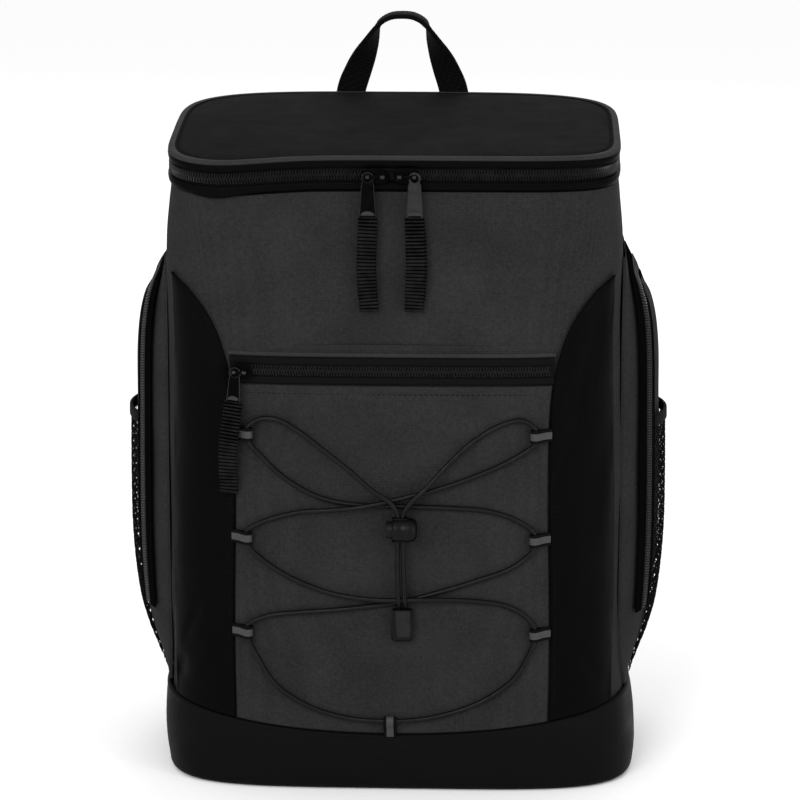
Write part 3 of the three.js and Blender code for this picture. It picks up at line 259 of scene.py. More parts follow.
class Shape:
    """Points in millimetres, faces, a material number for each face and two lengths marked at each point."""

    def __init__(self):
        self.points, self.faces, self.looks, self.marks = [], [], [], []

    def add(self, points, faces, look=0, marks=None):
        start = len(self.points)
        self.points += [tuple(p) for p in points]
        self.marks += marks or [(p[0], p[2]) for p in points]
        self.faces += [tuple(start + i for i in face) for face in faces]
        self.looks += list(look) if isinstance(look, (list, tuple)) else [look] * len(faces)

    def caps(self, rows, n):
        """Closes both ends of a tube of so many rows of n points."""
        last = (rows - 1) * n
        self.faces += [tuple(reversed(range(n))), tuple(range(last, last + n))]
        self.looks += [0, 0]

    def grid(self, rows, closed=False, look=0, marks=None, flip=False):
        n = len(rows[0])
        faces = []
        for i in range(len(rows) - 1):
            for j in range(n if closed else n - 1):
                k = (j + 1) % n
                face = (i * n + j, i * n + k, (i + 1) * n + k, (i + 1) * n + j)
                faces.append(face[::-1] if flip else face)
        self.add([p for row in rows for p in row], faces, look, marks)

    def mesh(self, name, sharp, weld):
        mesh = bpy.data.meshes.new(name)
        mesh.from_pydata([Vector(p) * MM for p in self.points], [], self.faces)
        layer = mesh.uv_layers.new(name="lengths")
        for loop in mesh.loops:
            layer.data[loop.index].uv = [v * MM for v in self.marks[loop.vertex_index]]
        mesh.polygons.foreach_set("material_index", self.looks)
        work = bmesh.new()
        work.from_mesh(mesh)
        if weld:
            bmesh.ops.remove_doubles(work, verts=work.verts, dist=2e-6)
            bmesh.ops.dissolve_degenerate(work, edges=work.edges, dist=1e-7)
        bmesh.ops.recalc_face_normals(work, faces=work.faces)
        work.to_mesh(mesh)
        work.free()
        mesh.shade_smooth()
        mesh.set_sharp_from_angle(angle=math.radians(sharp))
        return mesh


def tube(sections):
    """A skin through closed sections of points, capped at both ends."""
    shape = Shape()
    around = [0.0]
    for a, b in zip(sections[0], sections[0][1:]):
        around.append(around[-1] + math.dist(a, b))
    marks = [(across, i) for i in range(len(sections)) for across in around]
    shape.grid(sections, closed=True, marks=marks)
    shape.caps(len(sections), len(around))
    return shape


def thick_sheet(rows, thickness):
    """A cloth sheet from its outer face, with a rounded edge all round."""
    count, n = len(rows), len(rows[0])
    rows = [[Vector(p) for p in row] for row in rows]

    def out(i, j):
        a = rows[min(i + 1, count - 1)][j] - rows[max(i - 1, 0)][j]
        b = rows[i][min(j + 1, n - 1)] - rows[i][max(j - 1, 0)]
        return b.cross(a).normalized()

    outs = [[out(i, j) for j in range(n)] for i in range(count)]
    shape = Shape()
    back = [[p - o * thickness for p, o in zip(row, line)] for row, line in zip(rows, outs)]
    shape.grid(rows)
    shape.grid(back, flip=True)
    edge = [(0, j) for j in range(n)] + [(i, n - 1) for i in range(1, count)]
    edge += [(count - 1, j) for j in range(n - 2, -1, -1)] + [(i, 0) for i in range(count - 2, 0, -1)]
    total = count * n
    for (i, j), (k, m) in zip(edge, edge[1:] + edge[:1]):
        a, b = i * n + j, k * n + m
        shape.faces.append((a, a + total, b + total, b))
        shape.looks.append(0)
    return shape


class Path:
    """A line on a surface: its places, and the way out of the surface at each."""

    def __init__(self, places, outs, closed=False):
        self.places = [Vector(p) for p in places]
        self.outs = [Vector(o).normalized() for o in outs]
        if closed:
            self.places.append(self.places[0].copy())
            self.outs.append(self.outs[0].copy())
        self.closed = closed
        self.sums = [0.0]
        for a, b in zip(self.places, self.places[1:]):
            self.sums.append(self.sums[-1] + (b - a).length)
        self.length = self.sums[-1]

    def at(self, s):
        """The place, the way along, across and out at a length along the line."""
        s = s % self.length if self.closed else clamp(s, 0, self.length)
        low, high = 0, len(self.sums) - 2
        while low < high:
            middle = (low + high + 1) // 2
            low, high = (middle, high) if self.sums[middle] <= s else (low, middle - 1)
        span = max(1e-9, self.sums[low + 1] - self.sums[low])
        t = (s - self.sums[low]) / span
        place = self.places[low].lerp(self.places[low + 1], t)
        along = (self.places[low + 1] - self.places[low]).normalized()
        before = (self.places[low] - self.places[low - 1]) if low else along
        after = (self.places[low + 2] - self.places[low + 1]) if low + 2 < len(self.places) else along
        along = (before.normalized() * (0.5 - t / 2) + along + after.normalized() * (t / 2)).normalized()
        out = self.outs[low].lerp(self.outs[low + 1], t)
        out = (out - along * out.dot(along)).normalized()
        return place, along, along.cross(out), out

    def value(self, values, s):
        """A value at a length along the line, out of one for each place."""
        i = clamp(sum(v <= s for v in self.sums) - 1, 0, len(self.sums) - 2)
        t = clamp((s - self.sums[i]) / (self.sums[i + 1] - self.sums[i]))
        return values[i].lerp(values[i + 1], t)

    def sweep(self, profile, count, start=0.0, end=None):
        """A strip along the line. profile is a list of (across, out), or gives one at a length along."""
        end = self.length if end is None else end
        shape = Shape()
        sections, marks = [], []
        for t in steps(count):
            s = mix(start, end, t)
            place, _, across, out = self.at(s)
            outline = profile(s) if callable(profile) else profile
            sections.append([place + across * a + out * o for a, o in outline])
            marks += [(a + o, s) for a, o in outline]
        shape.grid(sections, closed=True, marks=marks)
        if not (self.closed and end - start >= self.length - 1e-6):
            shape.caps(count + 1, len(sections[0]))
        return shape


def shifted(outline, by):
    return [(a + by, o) for a, o in outline]


def rounded(width, height, foot=0.0, round_share=0.5, count=3, bulge=0.0):
    """The outline of a flat band with rounded edges: (across, out) pairs."""
    r = height * round_share
    w = width / 2 - r
    outline = []
    for cx, turn in ((w, -90), (-w, 90)):
        for t in steps(count * 2):
            a = math.radians(turn + t * 180)
            outline.append((cx + r * math.cos(a), foot + height / 2 + height / 2 * math.sin(a)))
        if bulge:
            sign = 1 if turn < 0 else -1
            for t in (0.25, 0.5, 0.75):
                top = height if sign > 0 else 0
                outline.append((cx * (1 - 2 * t), foot + top + sign * bulge * math.sin(math.pi * t)))
    return outline


TOOTH_PITCH = 1.8
TOOTH_SLANT = 0.45
TOOTH_OUTLINE = [(-0.36, 0.0), (-0.3, 0.62), (0.0, 1.0), (0.3, 0.62), (0.36, 0.0)]
# From a tooth's root to its tip: shares of its reach and of its height
TOOTH_STATIONS = [(1.0, 0.45), (0.86, 0.95), (0.3, 1.0), (-0.12, 0.85), (-0.26, 0.3)]


def teeth(path, start, end, reach, height, foot):
    """The two meshing rows of a coil zip's teeth."""
    rows = []
    for i in range(int((end - start) / TOOTH_PITCH)):
        for side, offset in ((-1, 0.25), (1, 0.75)):
            place, along, across, out = path.at(start + (i + offset) * TOOTH_PITCH)
            sections = []
            for share, tall in TOOTH_STATIONS:
                lean = TOOTH_SLANT * TOOTH_PITCH * (share - 0.3)
                centre = place + across * (side * share * reach) + along * lean
                sections.append([
                    centre + along * (a * TOOTH_PITCH) + out * (foot + o * height * tall)
                    for a, o in TOOTH_OUTLINE
                ])
            rows.append(tube(sections))
    return joined(*rows)


STITCH_OUTLINE = [(-0.5, -0.1), (-0.3, 0.45), (0.3, 0.45), (0.5, -0.1), (0.0, -0.6)]


def stitches(path, pitch=3.4, long=2.3, thick=0.55, across_by=0.0, foot=0.0, start=0.0, end=None):
    """A row of thread stitches along a line."""
    shape = Shape()
    end = path.length if end is None else end
    count = len(STITCH_OUTLINE)
    faces = []
    for j in range(count):
        low, high = 2 + 2 * j, 2 + 2 * ((j + 1) % count)
        faces += [(low, high, high + 1, low + 1), (0, high, low), (1, low + 1, high + 1)]
    for i in range(max(1, int((end - start) / pitch))):
        place, along, across, out = path.at(start + (i + 0.5) * pitch)
        middle = place + across * across_by + out * foot
        points = [middle + along * (long * k) - out * (thick / 2) for k in (-0.5, 0.5)]
        for a, o in STITCH_OUTLINE:
            side = across * (a * thick) + out * (o * thick)
            points += [middle + along * (long * k) + side for k in (-0.3, 0.3)]
        shape.add(points, faces)
    return shape


def joined(*shapes, looks=None):
    """Shapes put together, with their own material numbers or a new one for each."""
    whole = Shape()
    for i, shape in enumerate(shapes):
        whole.add(shape.points, shape.faces, looks[i] if looks else shape.looks, shape.marks)
    return whole


# Materials, all from nodes
def node(tree, kind, settings=None, inputs=None, output=0):
    made = tree.nodes.new(kind)
    for name, value in (settings or {}).items():
        setattr(made, name, value)
    for name, value in (inputs or {}).items():
        socket = made.inputs[name]
        if isinstance(value, bpy.types.NodeSocket):
            tree.links.new(value, socket)
        else:
            socket.default_value = value
    return made.outputs[output]


def object_place(tree):
    return node(tree, "ShaderNodeTexCoord", output="Object")


def plus(tree, a, b):
    return node(tree, "ShaderNodeMath", {"operation": "ADD"}, {0: a, 1: b})


def times(tree, a, b):
    return node(tree, "ShaderNodeMath", {"operation": "MULTIPLY"}, {0: a, 1: b})


def ranged(tree, value, low, high, to_low, to_high):
    settings = {"clamp": True}
    inputs = {"From Min": low, "From Max": high, "To Min": to_low, "To Max": to_high, "Value": value}
    return node(tree, "ShaderNodeMapRange", settings, inputs)


def blend_colours(tree, share, a, b):
    return node(tree, "ShaderNodeMix", {"data_type": "RGBA"}, {0: share, 6: a, 7: b}, 2)


def blank(name, roughness, metallic, specular):
    look = bpy.data.materials.new(name)
    look.use_nodes = True
    shader = look.node_tree.nodes["Principled BSDF"]
    for key, value in (("Roughness", roughness), ("Metallic", metallic), ("Specular IOR Level", specular)):
        shader.inputs[key].default_value = value
    return look, look.node_tree, shader


def finish_look(tree, shader, colour, height, depth, roughness=None):
    tree.links.new(colour, shader.inputs["Base Color"])
    if roughness is not None:
        tree.links.new(roughness, shader.inputs["Roughness"])
    bump = node(tree, "ShaderNodeBump", None, {"Strength": 0.9, "Distance": depth * MM, "Height": height})
    tree.links.new(bump, shader.inputs["Normal"])


def fibre_noise(tree, place, size, detail=3.0):
    inputs = {"Vector": place, "Scale": 1 / (size * MM), "Detail": detail}
    return node(tree, "ShaderNodeTexNoise", None, inputs)


def wave(tree, place, direction, pitch, wobble=0.0):
    scale = math.pi / 10 / (pitch * MM)
    inputs = {"Vector": place, "Scale": scale, "Distortion": wobble, "Detail Scale": 2.0}
    return node(tree, "ShaderNodeTexWave", {"bands_direction": direction}, inputs, "Fac")


def woven(name, dark, light, pitch, roughness, depth, specular, mottle=0.12, crinkle=0.0):
    """Plain-woven cloth: threads that cross over each other on every side of the bag."""
    look, tree, shader = blank(name, roughness, 0.0, specular)
    place = object_place(tree)
    x, y, z = (wave(tree, place, direction, pitch, 2.4) for direction in "XYZ")
    weave = plus(tree, times(tree, x, z), times(tree, y, plus(tree, x, z)))
    threads = ranged(tree, weave, 0.2, 1.9, 0.0, 1.0)
    fuzz = fibre_noise(tree, place, pitch * 1.1, 2.0)
    patches = fibre_noise(tree, place, 38.0, 4.0)
    share = plus(tree, times(tree, threads, 0.2), times(tree, fuzz, 0.8))
    share = plus(tree, share, ranged(tree, patches, 0.3, 0.7, -mottle, mottle))
    colour = blend_colours(tree, ranged(tree, share, 0.0, 1.0, 0.0, 1.0), dark, light)
    height = plus(tree, threads, times(tree, fuzz, 0.5))
    rough = ranged(tree, fibre_noise(tree, place, 15.0), 0.3, 0.7, roughness - 0.06, roughness + 0.06)
    if crinkle:
        height = plus(tree, height, times(tree, fibre_noise(tree, place, 9.0, 5.0), crinkle))
    finish_look(tree, shader, colour, height, depth, rough)
    return look


def ribbed(name, dark, light, pitch, roughness, depth, direction, slanted=False):
    """Webbing with ribs by the lengths marked on its mesh: Y runs along it and X across it."""
    look, tree, shader = blank(name, roughness, 0.0, 0.04)
    marks = node(tree, "ShaderNodeUVMap", {"uv_map": "lengths"})
    ribs = wave(tree, marks, direction, pitch, 0.25)
    if slanted:
        ribs = times(tree, ribs, wave(tree, marks, "DIAGONAL", pitch * 1.3, 0.2))
    threads = wave(tree, marks, "X" if direction == "Y" else "Y", pitch * 0.62, 0.4)
    fuzz = fibre_noise(tree, marks, pitch * 0.5)
    height = plus(tree, ribs, times(tree, threads, 0.35))
    share = plus(tree, times(tree, height, 0.6), times(tree, fuzz, 0.35))
    colour = blend_colours(tree, ranged(tree, share, 0.1, 1.05, 0.0, 1.0), dark, light)
    finish_look(tree, shader, colour, plus(tree, height, times(tree, fuzz, 0.2)), depth)
    return look


def moulded(name, dark, light, roughness, metallic=0.0, specular=0.3, grain=0.5, depth=0.04):
    """Moulded plastic or coated metal: fine grain, faint wear and a little unevenness in its gloss."""
    look, tree, shader = blank(name, roughness, metallic, specular)
    place = object_place(tree)
    fine = fibre_noise(tree, place, grain)
    broad = fibre_noise(tree, place, 6.0)
    colour = blend_colours(tree, ranged(tree, broad, 0.3, 0.7, 0.0, 1.0), dark, light)
    rough = ranged(tree, broad, 0.3, 0.7, roughness + 0.08, roughness - 0.08)
    finish_look(tree, shader, colour, fine, depth, rough)
    return look


def grey(level):
    """A neutral colour from a picture's level of 0 to 255."""
    value = (level / 255 + 0.055) / 1.055 if level > 10.3 else 0
    linear = value**2.4 if level > 10.3 else level / 255 / 12.92
    return (linear, linear, linear * 1.02, 1)


# Cloths: darkest and lightest colour, thread pitch, roughness, relief, gloss, and mottle and crinkle of some
GREY_CLOTH = woven("grey_cloth", grey(24), grey(46), 1.7, 0.88, 0.11, 0.03)
# The lid's top: the grey cloth painted darker, a painted shade on the lid top, which faces away from the
# light in front
LID_CLOTH_PAINTED_SHADE = woven("lid_cloth", grey(10), grey(24), 1.7, 0.9, 0.08, 0.02)
# Paler grey cloth for the lid's rolled rim and the fold over the pocket zip: painted highlight along these
# rounded edges
PALE_EDGE_HIGHLIGHT = woven("pale_grey_cloth_painted_highlight", grey(30), grey(48), 1.7, 0.85, 0.08, 0.08)
COATED = woven("coated_cloth", grey(4), grey(8), 0.9, 0.42, 0.05, 0.015, 0.05, 0.9)
FLAP = woven("zip_flap", grey(4), grey(9), 0.9, 0.7, 0.05, 0.0)
BASE_CLOTH = woven("base_cloth", grey(7), grey(13), 1.1, 0.55, 0.06, 0.03, 0.05, 0.7)
SILVER = woven("silver_stripe", grey(50), grey(64), 0.8, 0.5, 0.04, 0.1)
FOAM_MESH = woven("spacer_mesh", grey(8), grey(20), 2.8, 0.9, 0.5, 0.03)
# Webbings: darkest and lightest colour, rib pitch, roughness, relief and the ribs' direction
TAPE = ribbed("zip_tape", grey(6), grey(15), 0.9, 0.8, 0.08, "X")
WEBBING = ribbed("webbing", grey(3), grey(13), 1.5, 0.8, 0.22, "Y")
HANDLE_WEBBING = ribbed("handle_webbing", grey(3), grey(14), 2.2, 0.85, 0.2, "Y", slanted=True)
# Plastics, metals and threads: darkest and lightest colour, roughness, metal, gloss, grain size and relief
CORD_COVER = moulded("cord_cover", grey(2), grey(7), 0.42, 0.0, 0.14, 0.9, 0.1)
THREAD = moulded("thread", grey(8), grey(14), 0.75, 0.0, 0.06, 0.3)
PALE_THREAD = moulded("grey_thread", grey(17), grey(24), 0.85, 0.0, 0.05, 0.3)
COIL = moulded("zip_teeth", grey(19), grey(30), 0.36, 0.0, 0.3, 0.4, 0.02)
RIBBON_RIB = moulded("ribbon_rib", grey(15), grey(26), 0.85, 0.0, 0.03, 0.5, 0.1)
# Near black for the grooves between a ribbon's ribs: painted shade
RIBBON_GROOVE_PAINTED_SHADE = moulded("ribbon_groove_painted_shade", grey(1), grey(4), 0.9, 0.0, 0.0, 0.5, 0.1)
BLACK_PLASTIC = moulded("black_plastic", grey(4), grey(8), 0.36, 0.0, 0.1)
# A lighter copy of the black plastic: painted highlight on the end cap's front face
PLASTIC_PAINTED_HIGHLIGHT = moulded("grey_plastic", grey(22), grey(29), 0.42, 0.0, 0.1)
BUTTON_PLASTIC = moulded("button_plastic", grey(11), grey(17), 0.42, 0.0, 0.08)
DARK_METAL = moulded("dark_metal", grey(3), grey(7), 0.35, 0.0, 0.01, 0.6, 0.02)
# A lighter copy of the dark metal: painted highlight at the sliders' bar ends and on the tabs' edges, and
# painted light on the right lid tab's faces
METAL_PAINTED_LIGHT = moulded("grey_metal", grey(36), grey(43), 0.36, 0.85, 0.4, 0.6, 0.02)
# Pale metal: the crescents on the tabs, and a painted highlight on the right lid tab's edges
PALE_METAL_AND_HIGHLIGHT = moulded("pale_metal_and_painted_highlight", grey(42), grey(52), 0.32, 0.8, 0.4, 0.6, 0.02)
NET = moulded("net_strand", grey(6), grey(12), 0.7, 0.0, 0.06, 0.3, 0.03)
FLOOR = moulded("pale_floor", (0.93, 0.93, 0.93, 1), (0.94, 0.94, 0.94, 1), 0.9, 0.0, 0.0, 60.0, 0.01)

# Camera
camera_data = bpy.data.cameras.new("camera")
camera_data.lens = CAMERA_LENS
camera_data.sensor_width = 36
camera = bpy.data.objects.new("camera", camera_data)
bpy.context.scene.collection.objects.link(camera)
azimuth, elevation = math.radians(CAMERA_AZIMUTH), math.radians(CAMERA_ELEVATION)
back_to_camera = Vector((
    math.sin(azimuth) * math.cos(elevation), -math.cos(azimuth) * math.cos(elevation), math.sin(elevation),
))
camera.location = (Vector(CAMERA_TARGET) + back_to_camera * CAMERA_DISTANCE) * MM
camera.rotation_mode = "QUATERNION"
camera.rotation_quaternion = (-back_to_camera).to_track_quat("-Z", "Y")
camera_data.clip_end = 50
bpy.context.scene.camera = camera


# The front pocket's cloth, which the cord lies on
def pocket_out(x, z):
    middle = clamp(1 - (x / WING_INNER_HALF) ** 2)
    up = math.sin(math.pi * clamp((z - SEAM_LOW) / (POCKET_ZIP_LOW - SEAM_LOW)))
    return SKIN_GAP + POCKET_PUFF * middle * up


def on_cloth(x, z, height=0.0):
    return Vector((x, front_y(x, z, pocket_out(x, z) + FRONT_CLOTH + height), z))


def on_front(x, z, height=0.0):
    return Vector((x, front_y(x, z, height), z))


def way_out(surface, x, z):
    """The way out of a surface that faces the front."""
    across = surface(x + 1, z) - surface(x - 1, z)
    up = surface(x, z + 1) - surface(x, z - 1)
    return across.cross(up).normalized()


def cloth_frame(x, z, right, up, height):
    first = (on_cloth(x + right, z + up, height) - on_cloth(x - right, z - up, height)).normalized()
    out = Vector((up, 0, -right)).cross(first).normalized()
    third = first.cross(out)
    frame_axes = Matrix((first, out, third)).transposed().to_4x4()
    frame_axes.translation = on_cloth(x, z, height)
    return frame_axes


LOOPS = {
    "left_1": (-101.6, 243.5, 1, 0),
    "left_2": (-102.4, 173.5, 1, 0),
    "left_3": (-102.6, 109, 1, 0),
    "right_1": (101.6, 243.5, -1, 0),
    "right_2": (101.4, 173.5, -1, 0),
    "right_3": (102, 109, -1, 0),
    "bottom": (-0.8, 40.4, 0, 1),
}


def through(name, sense):
    past = LOOP_WIDTH / 2 + 0.6
    axes = cloth_frame(*LOOPS[name], GAP)
    return [axes @ Vector((LOOP_LENGTH - CORD_IN_LOOP, CORD_IN_LOOP, a * sense)) for a in (-past, 0, past)]


# The cord's route, as in the solid model: a loop and the sense through it, or across, up and cord layers
LOCK_LAYER = (LOCK_RADIUS - CORD_DIAMETER / 2) / CORD_LAYER
CORD_ROUTE = [
    (TAIL_LEFT_X + 1, CAP_TOP + 1, 0.55), (TAIL_LEFT_X + 0.6, 138, 1.7), (TAIL_LEFT_X, 160, LOCK_LAYER),
    (TAIL_LEFT_X, LOCK_Z, LOCK_LAYER), (TAIL_LEFT_X, 193, LOCK_LAYER), (0, 201, 2), (-12, 209, 1.9),
    (-26, 220.8, 1.2), (-45, 235, 0.5), (-60, 246, 0.1), (-74, 253.4, 0), (-85, 253.6, 0.1), ("left_1", 1),
    (-85, 229, 0.1), (-72, 216.6, 0), (-50, 203.6, 0),
    (-27, 198.2, 0), (6, 197, 0), (38, 196, 0), (64, 193.6, 0), (82, 187, 0.05), ("right_2", -1),
    (87, 160.6, 0.1), (76, 153.6, 0), (58, 147.4, 0), (38, 141, 0), (6, 132.2, 0),
    (-34, 126.4, 0), (-60, 123.8, 0), (-81, 120.4, 0.05), ("left_3", 1), (-89, 92, 0.1),
    (-76.6, 73, 0), (-54, 58.4, 0), (-27, 50.6, 0.1), ("bottom", 1), (27, 52, 0.1), (58, 62.4, 0),
    (81, 78.6, 0), (90, 94, 0.1), ("right_3", 1), (87, 122.6, 0.1), (74, 129.6, 0), (46, 133.8, 0.3),
    (20, 134.8, 1), (-12, 134.6, 1), (-40, 138, 0.3), (-66, 147.4, 0), (-84, 158.4, 0.1), ("left_2", -1),
    (-83, 185, 0.1), (-60, 192, 0.1), (-40, 194.4, 0.7), (-20, 197, 1), (10, 204, 1), (38, 211.6, 0.6),
    (70, 223.6, 0), (86, 232.4, 0.1), ("right_1", 1), (85, 254, 0.1), (72, 251.4, 0.05),
    (54, 241, 0.2), (38, 226.8, 0.9), (22, 210, 1.9), (12.6, 201, 2), (TAIL_RIGHT_X, 193, LOCK_LAYER),
    (TAIL_RIGHT_X, LOCK_Z, LOCK_LAYER), (TAIL_RIGHT_X + 0.2, 160, LOCK_LAYER), (TAIL_RIGHT_X + 1, 138, 1.7),
    (TAIL_RIGHT_X + 1.4, CAP_TOP + 1, 0.55),
]


def smooth_line(points, pieces):
    """A smooth curve through points, with its tightest turns kept round."""
    ends = [points[0] * 2 - points[1], *points, points[-1] * 2 - points[-2]]
    line = []
    for a, b, c, d in zip(ends, ends[1:], ends[2:], ends[3:]):
        first, second, third = ((q - p).length ** 0.5 for p, q in ((a, b), (b, c), (c, d)))
        m = ((b - a) / first - (c - a) / (first + second) + (c - b) / second) * second
        n = ((c - b) / second - (d - b) / (second + third) + (d - c) / third) * second
        line += [hermite(b, c, m, n, i / pieces) for i in range(pieces)]
    return [*line, points[-1]]


def make_cord():
    points = []
    for stop in CORD_ROUTE:
        if stop[0] in LOOPS:
            points += through(*stop)
        else:
            x, z, layer = stop
            points.append(on_cloth(x, z, GAP + CORD_DIAMETER / 2 + layer * CORD_LAYER))
    line = smooth_line(points, 7)
    curve = bpy.data.curves.new("elastic_cord", "CURVE")
    curve.dimensions = "3D"
    curve.bevel_depth = CORD_DIAMETER / 2 * MM
    curve.bevel_resolution = 4
    curve.use_fill_caps = True
    spline = curve.splines.new("POLY")
    spline.points.add(len(line) - 1)
    for place, point in zip(line, spline.points):
        point.co = (*(place * MM), 1)
    spline.use_smooth = True
    made = new_object("elastic_cord", curve, CORD_COVER, ["bungee_cord"])


make_cord()


# Body shell and base
RING_COUNT = 220


def body_plan(z, out, count):
    width, front, back, square_front, square_back, shift = section(z)
    return plan(width + out, front + out, back + out, square_front, square_back, shift, count)


def body_ring(z, out, puff=None):
    ring = []
    for x, y, nx, ny in body_plan(z, out, RING_COUNT):
        push = puff(x, y, z) if puff else 0
        lifted = ease((z / BODY_TOP - 0.55) / 0.45)
        ring.append((x + nx * push, y + ny * push, z + lid_lift(x, y) * lifted))
    return ring


def body_puff(x, y, z):
    """Soft dents and swells of the cloth, and the dip under the drooping corner of the lid."""
    swell = ripple(x, y, z, 90, 1.6, 3.1) + ripple(x, y, z, 34, 0.5, 8.4)
    fade = ease((z - 40) / 30) * ease((BODY_TOP - z) / 14)
    corner = -1.6 * bell(x, -104, 13) * bell(z, 391, 6) + 0.9 * bell(x, -86, 16) * bell(z, 380, 12)
    return swell * fade + (corner if y < 0 else 0)


def heel(low, radius, out, puff=None):
    """Rings round the bottom edge, from a flat floor up to the wall."""
    rings = []
    for t in steps(7):
        turn = t * math.pi / 2
        rise = radius * (1 - math.cos(turn))
        ring = body_ring(low + rise, out - radius * (1 - math.sin(turn)), puff)
        rings.append([(x, y, low + rise) for x, y, _ in ring])
    return rings


def make_body():
    floor = BOOT_CLOTH + GAP
    heights = [mix(14, BODY_TOP, t) for t in steps(90)]
    rings = heel(floor, 11, 0)
    rings += [body_ring(z, 0, body_puff) for z in heights]
    rings.append([(x, y, z + 0.4) for x, y, z in body_ring(BODY_TOP, -BODY_WALL / 2)])
    rings += [body_ring(z, -BODY_WALL) for z in reversed(heights[::6])]
    rings += heel(floor + BODY_WALL, 8, -BODY_WALL)[::-1]
    new_object("body_cloth", tube(rings), GREY_CLOTH, ["main_body"], sharp=70)


def boot_puff(x, y, z):
    across = ripple(x, y, z * 0.4, 44, 1.5, 5.7) + ripple(x * 0.5, y * 0.5, z, 17, 0.6, 2.2)
    swell = BOOT_SWELL * math.sin(math.pi * clamp(z / seam_height(x))) ** 0.5
    return across * ease(z / 16) * ease((seam_height(x) - z) / 5) + swell


def make_base():
    skin = BOOT_CLOTH + GAP
    top = [seam_height(x) for x, _, _ in body_ring(SEAM_LOW, BOOT_CLOTH)]
    plans = {}

    def wall(share, out, puffed=True):
        ring = []
        for j, high in enumerate(top):
            z = mix(BOOT_HEEL, high, share)
            key = (round(z), out)
            if key not in plans:
                plans[key] = body_plan(*key, RING_COUNT)
            x, y, nx, ny = plans[key][j]
            push = boot_puff(x, y, z) if puffed else 0
            ring.append((x + nx * push, y + ny * push, z))
        return ring

    rings = heel(0, BOOT_HEEL, skin, boot_puff)
    rings += [wall(t, skin) for t in steps(22)[1:-1]]
    rings += [wall(0.985, skin + 0.5), wall(1.0, skin + 0.35)]
    rings += [wall(1.012, skin - 0.4), wall(1.006, GAP + 0.4)]
    rings += [wall(t, GAP, False) for t in (0.95, 0.5, 0.15)]
    rings += heel(1.6, BOOT_HEEL - 1, GAP)[::-1]
    new_object("base_cloth", tube(rings), BASE_CLOTH, ["base_boot"], sharp=70)


# Lid
def lid_plan(inset, count):
    depth = LID_DEPTH - inset
    return plan(LID_HALF_WIDTH - inset, depth, depth, LID_SQUARE_FRONT, LID_SQUARE_BACK, 0, count)


def lid_path(z, inset):
    ring = lid_plan(inset, int(4 * (LID_HALF_WIDTH + LID_DEPTH - 2 * inset) / 2.5))
    places = [(x, y, z + lid_lift(x, y)) for x, y, _, _ in ring]
    return Path(places, [(nx, ny, 0) for _, _, nx, ny in ring], closed=True)


# The rolled rim and the panel: inset from the edge, height above the band, and more of it along the sides
LID_PROFILE = [
    (0.9, -0.2, 0), (0.2, 0.5, 0), (0.0, 1.2, 0), (0.3, 1.9, 0), (1.0, 2.4, 0), (2.0, 2.7, 0), (3.2, 2.75, 0),
    (4.3, 2.5, 0), (5.1, 2.2, -0.5), (5.7, 2.05, -1.3), (6.2, 2.1, -1.3), (6.9, 2.3, -0.4), (8.0, 2.55, 0),
    (11.0, 2.9, 0), (16.0, 3.2, 0), (24.0, 3.4, 0), (36.0, 3.6, 0), (50.0, 3.75, 0), (66.0, 3.8, 0),
    (80.0, 3.8, 0), (90.0, 3.8, 0),
]


def make_lid():
    count = 300
    low = lid_plan(6, count)
    rings = [[(x, y, LID_FOOT_PANEL - drop + lid_lift(x, y)) for x, y, _, _ in low] for drop in (6, 0.4)]
    for inset, height, sides in LID_PROFILE:
        ring = []
        for x, y, nx, _ in lid_plan(inset, count):
            side = ease((abs(nx) - 0.15) / 0.5) * sides
            back = 0.4 * sides * ease((y / LID_DEPTH - 0.6) / 0.3)
            dent = ripple(x, y, 0, 70, 0.7, 4.4) * ease(inset / 20)
            ring.append((x, y, LID_FOOT_PANEL - 0.6 + height + side + back + dent + lid_lift(x, y)))
        rings.append(ring)
    shape = tube(rings)
    # The rim's rows take the paler cloth: a painted highlight along the rolled rim
    shape.looks = [int(len(face) == 4 and 2 <= min(face) // count <= 8) for face in shape.faces]
    # The panel takes the darker copy of the grey cloth: painted shade on the lid's top
    new_object("lid_cloth", shape, [LID_CLOTH_PAINTED_SHADE, PALE_EDGE_HIGHLIGHT], ["lid_panel"], sharp=80)


def make_binding(name, foot, height, node_name, sag):
    """A cloth band that holds the zip's tape, and sags at the lid's left corner."""
    path = lid_path(foot + height / 2, 1.8)

    def profile(s):
        x, y, _ = path.at(s)[0]
        drop = sag * bell(x, -112, 15) * (y < 0) + ripple(x, y, 0, 26, 0.5, foot)
        low, high = -height / 2 - drop, height / 2
        face = [(-mix(low, high, t), 1.9 * (0.55 + 0.45 * math.sin(math.pi * t) ** 0.5)) for t in steps(8)]
        return face + [(-mix(high, low, t), -0.6) for t in steps(4)]

    thread = stitches(path, 3.2, 2.2, 0.4, across_by=-height * 0.18, foot=1.95)
    whole = joined(path.sweep(profile, 420), thread)
    new_object(name, whole, COATED, [node_name], sharp=70)


# The lid's zip runs round the front and sides, and a cloth hinge closes the band behind
def make_lid_zip():
    path = lid_path(LID_ZIP_Z, 2.6)
    half, back_half = path.length / 2, 100
    start, end = -(half - back_half), half - back_half
    tape = path.sweep(rounded(10.4, 1.3, -0.9), 380, start, end)
    new_object("lid_tape", tape, TAPE, ["lid_zip_tape"])
    coil = teeth(path, start + 1, end - 1, 3.5, 2.0, 0.35)
    new_object("lid_teeth", coil, COIL, ["lid_zip_coil"], weld=False)
    hinge = lid_path(LID_ZIP_Z, 1.6)
    middle, reach = hinge.length / 2, back_half - 2
    strip = hinge.sweep(rounded(10.2, 2.0, -0.9, 0.3, 3, 0.3), 60, middle - reach, middle + reach)
    new_object("hinge_cloth", strip, COATED, ["lid_hinge_strip"])


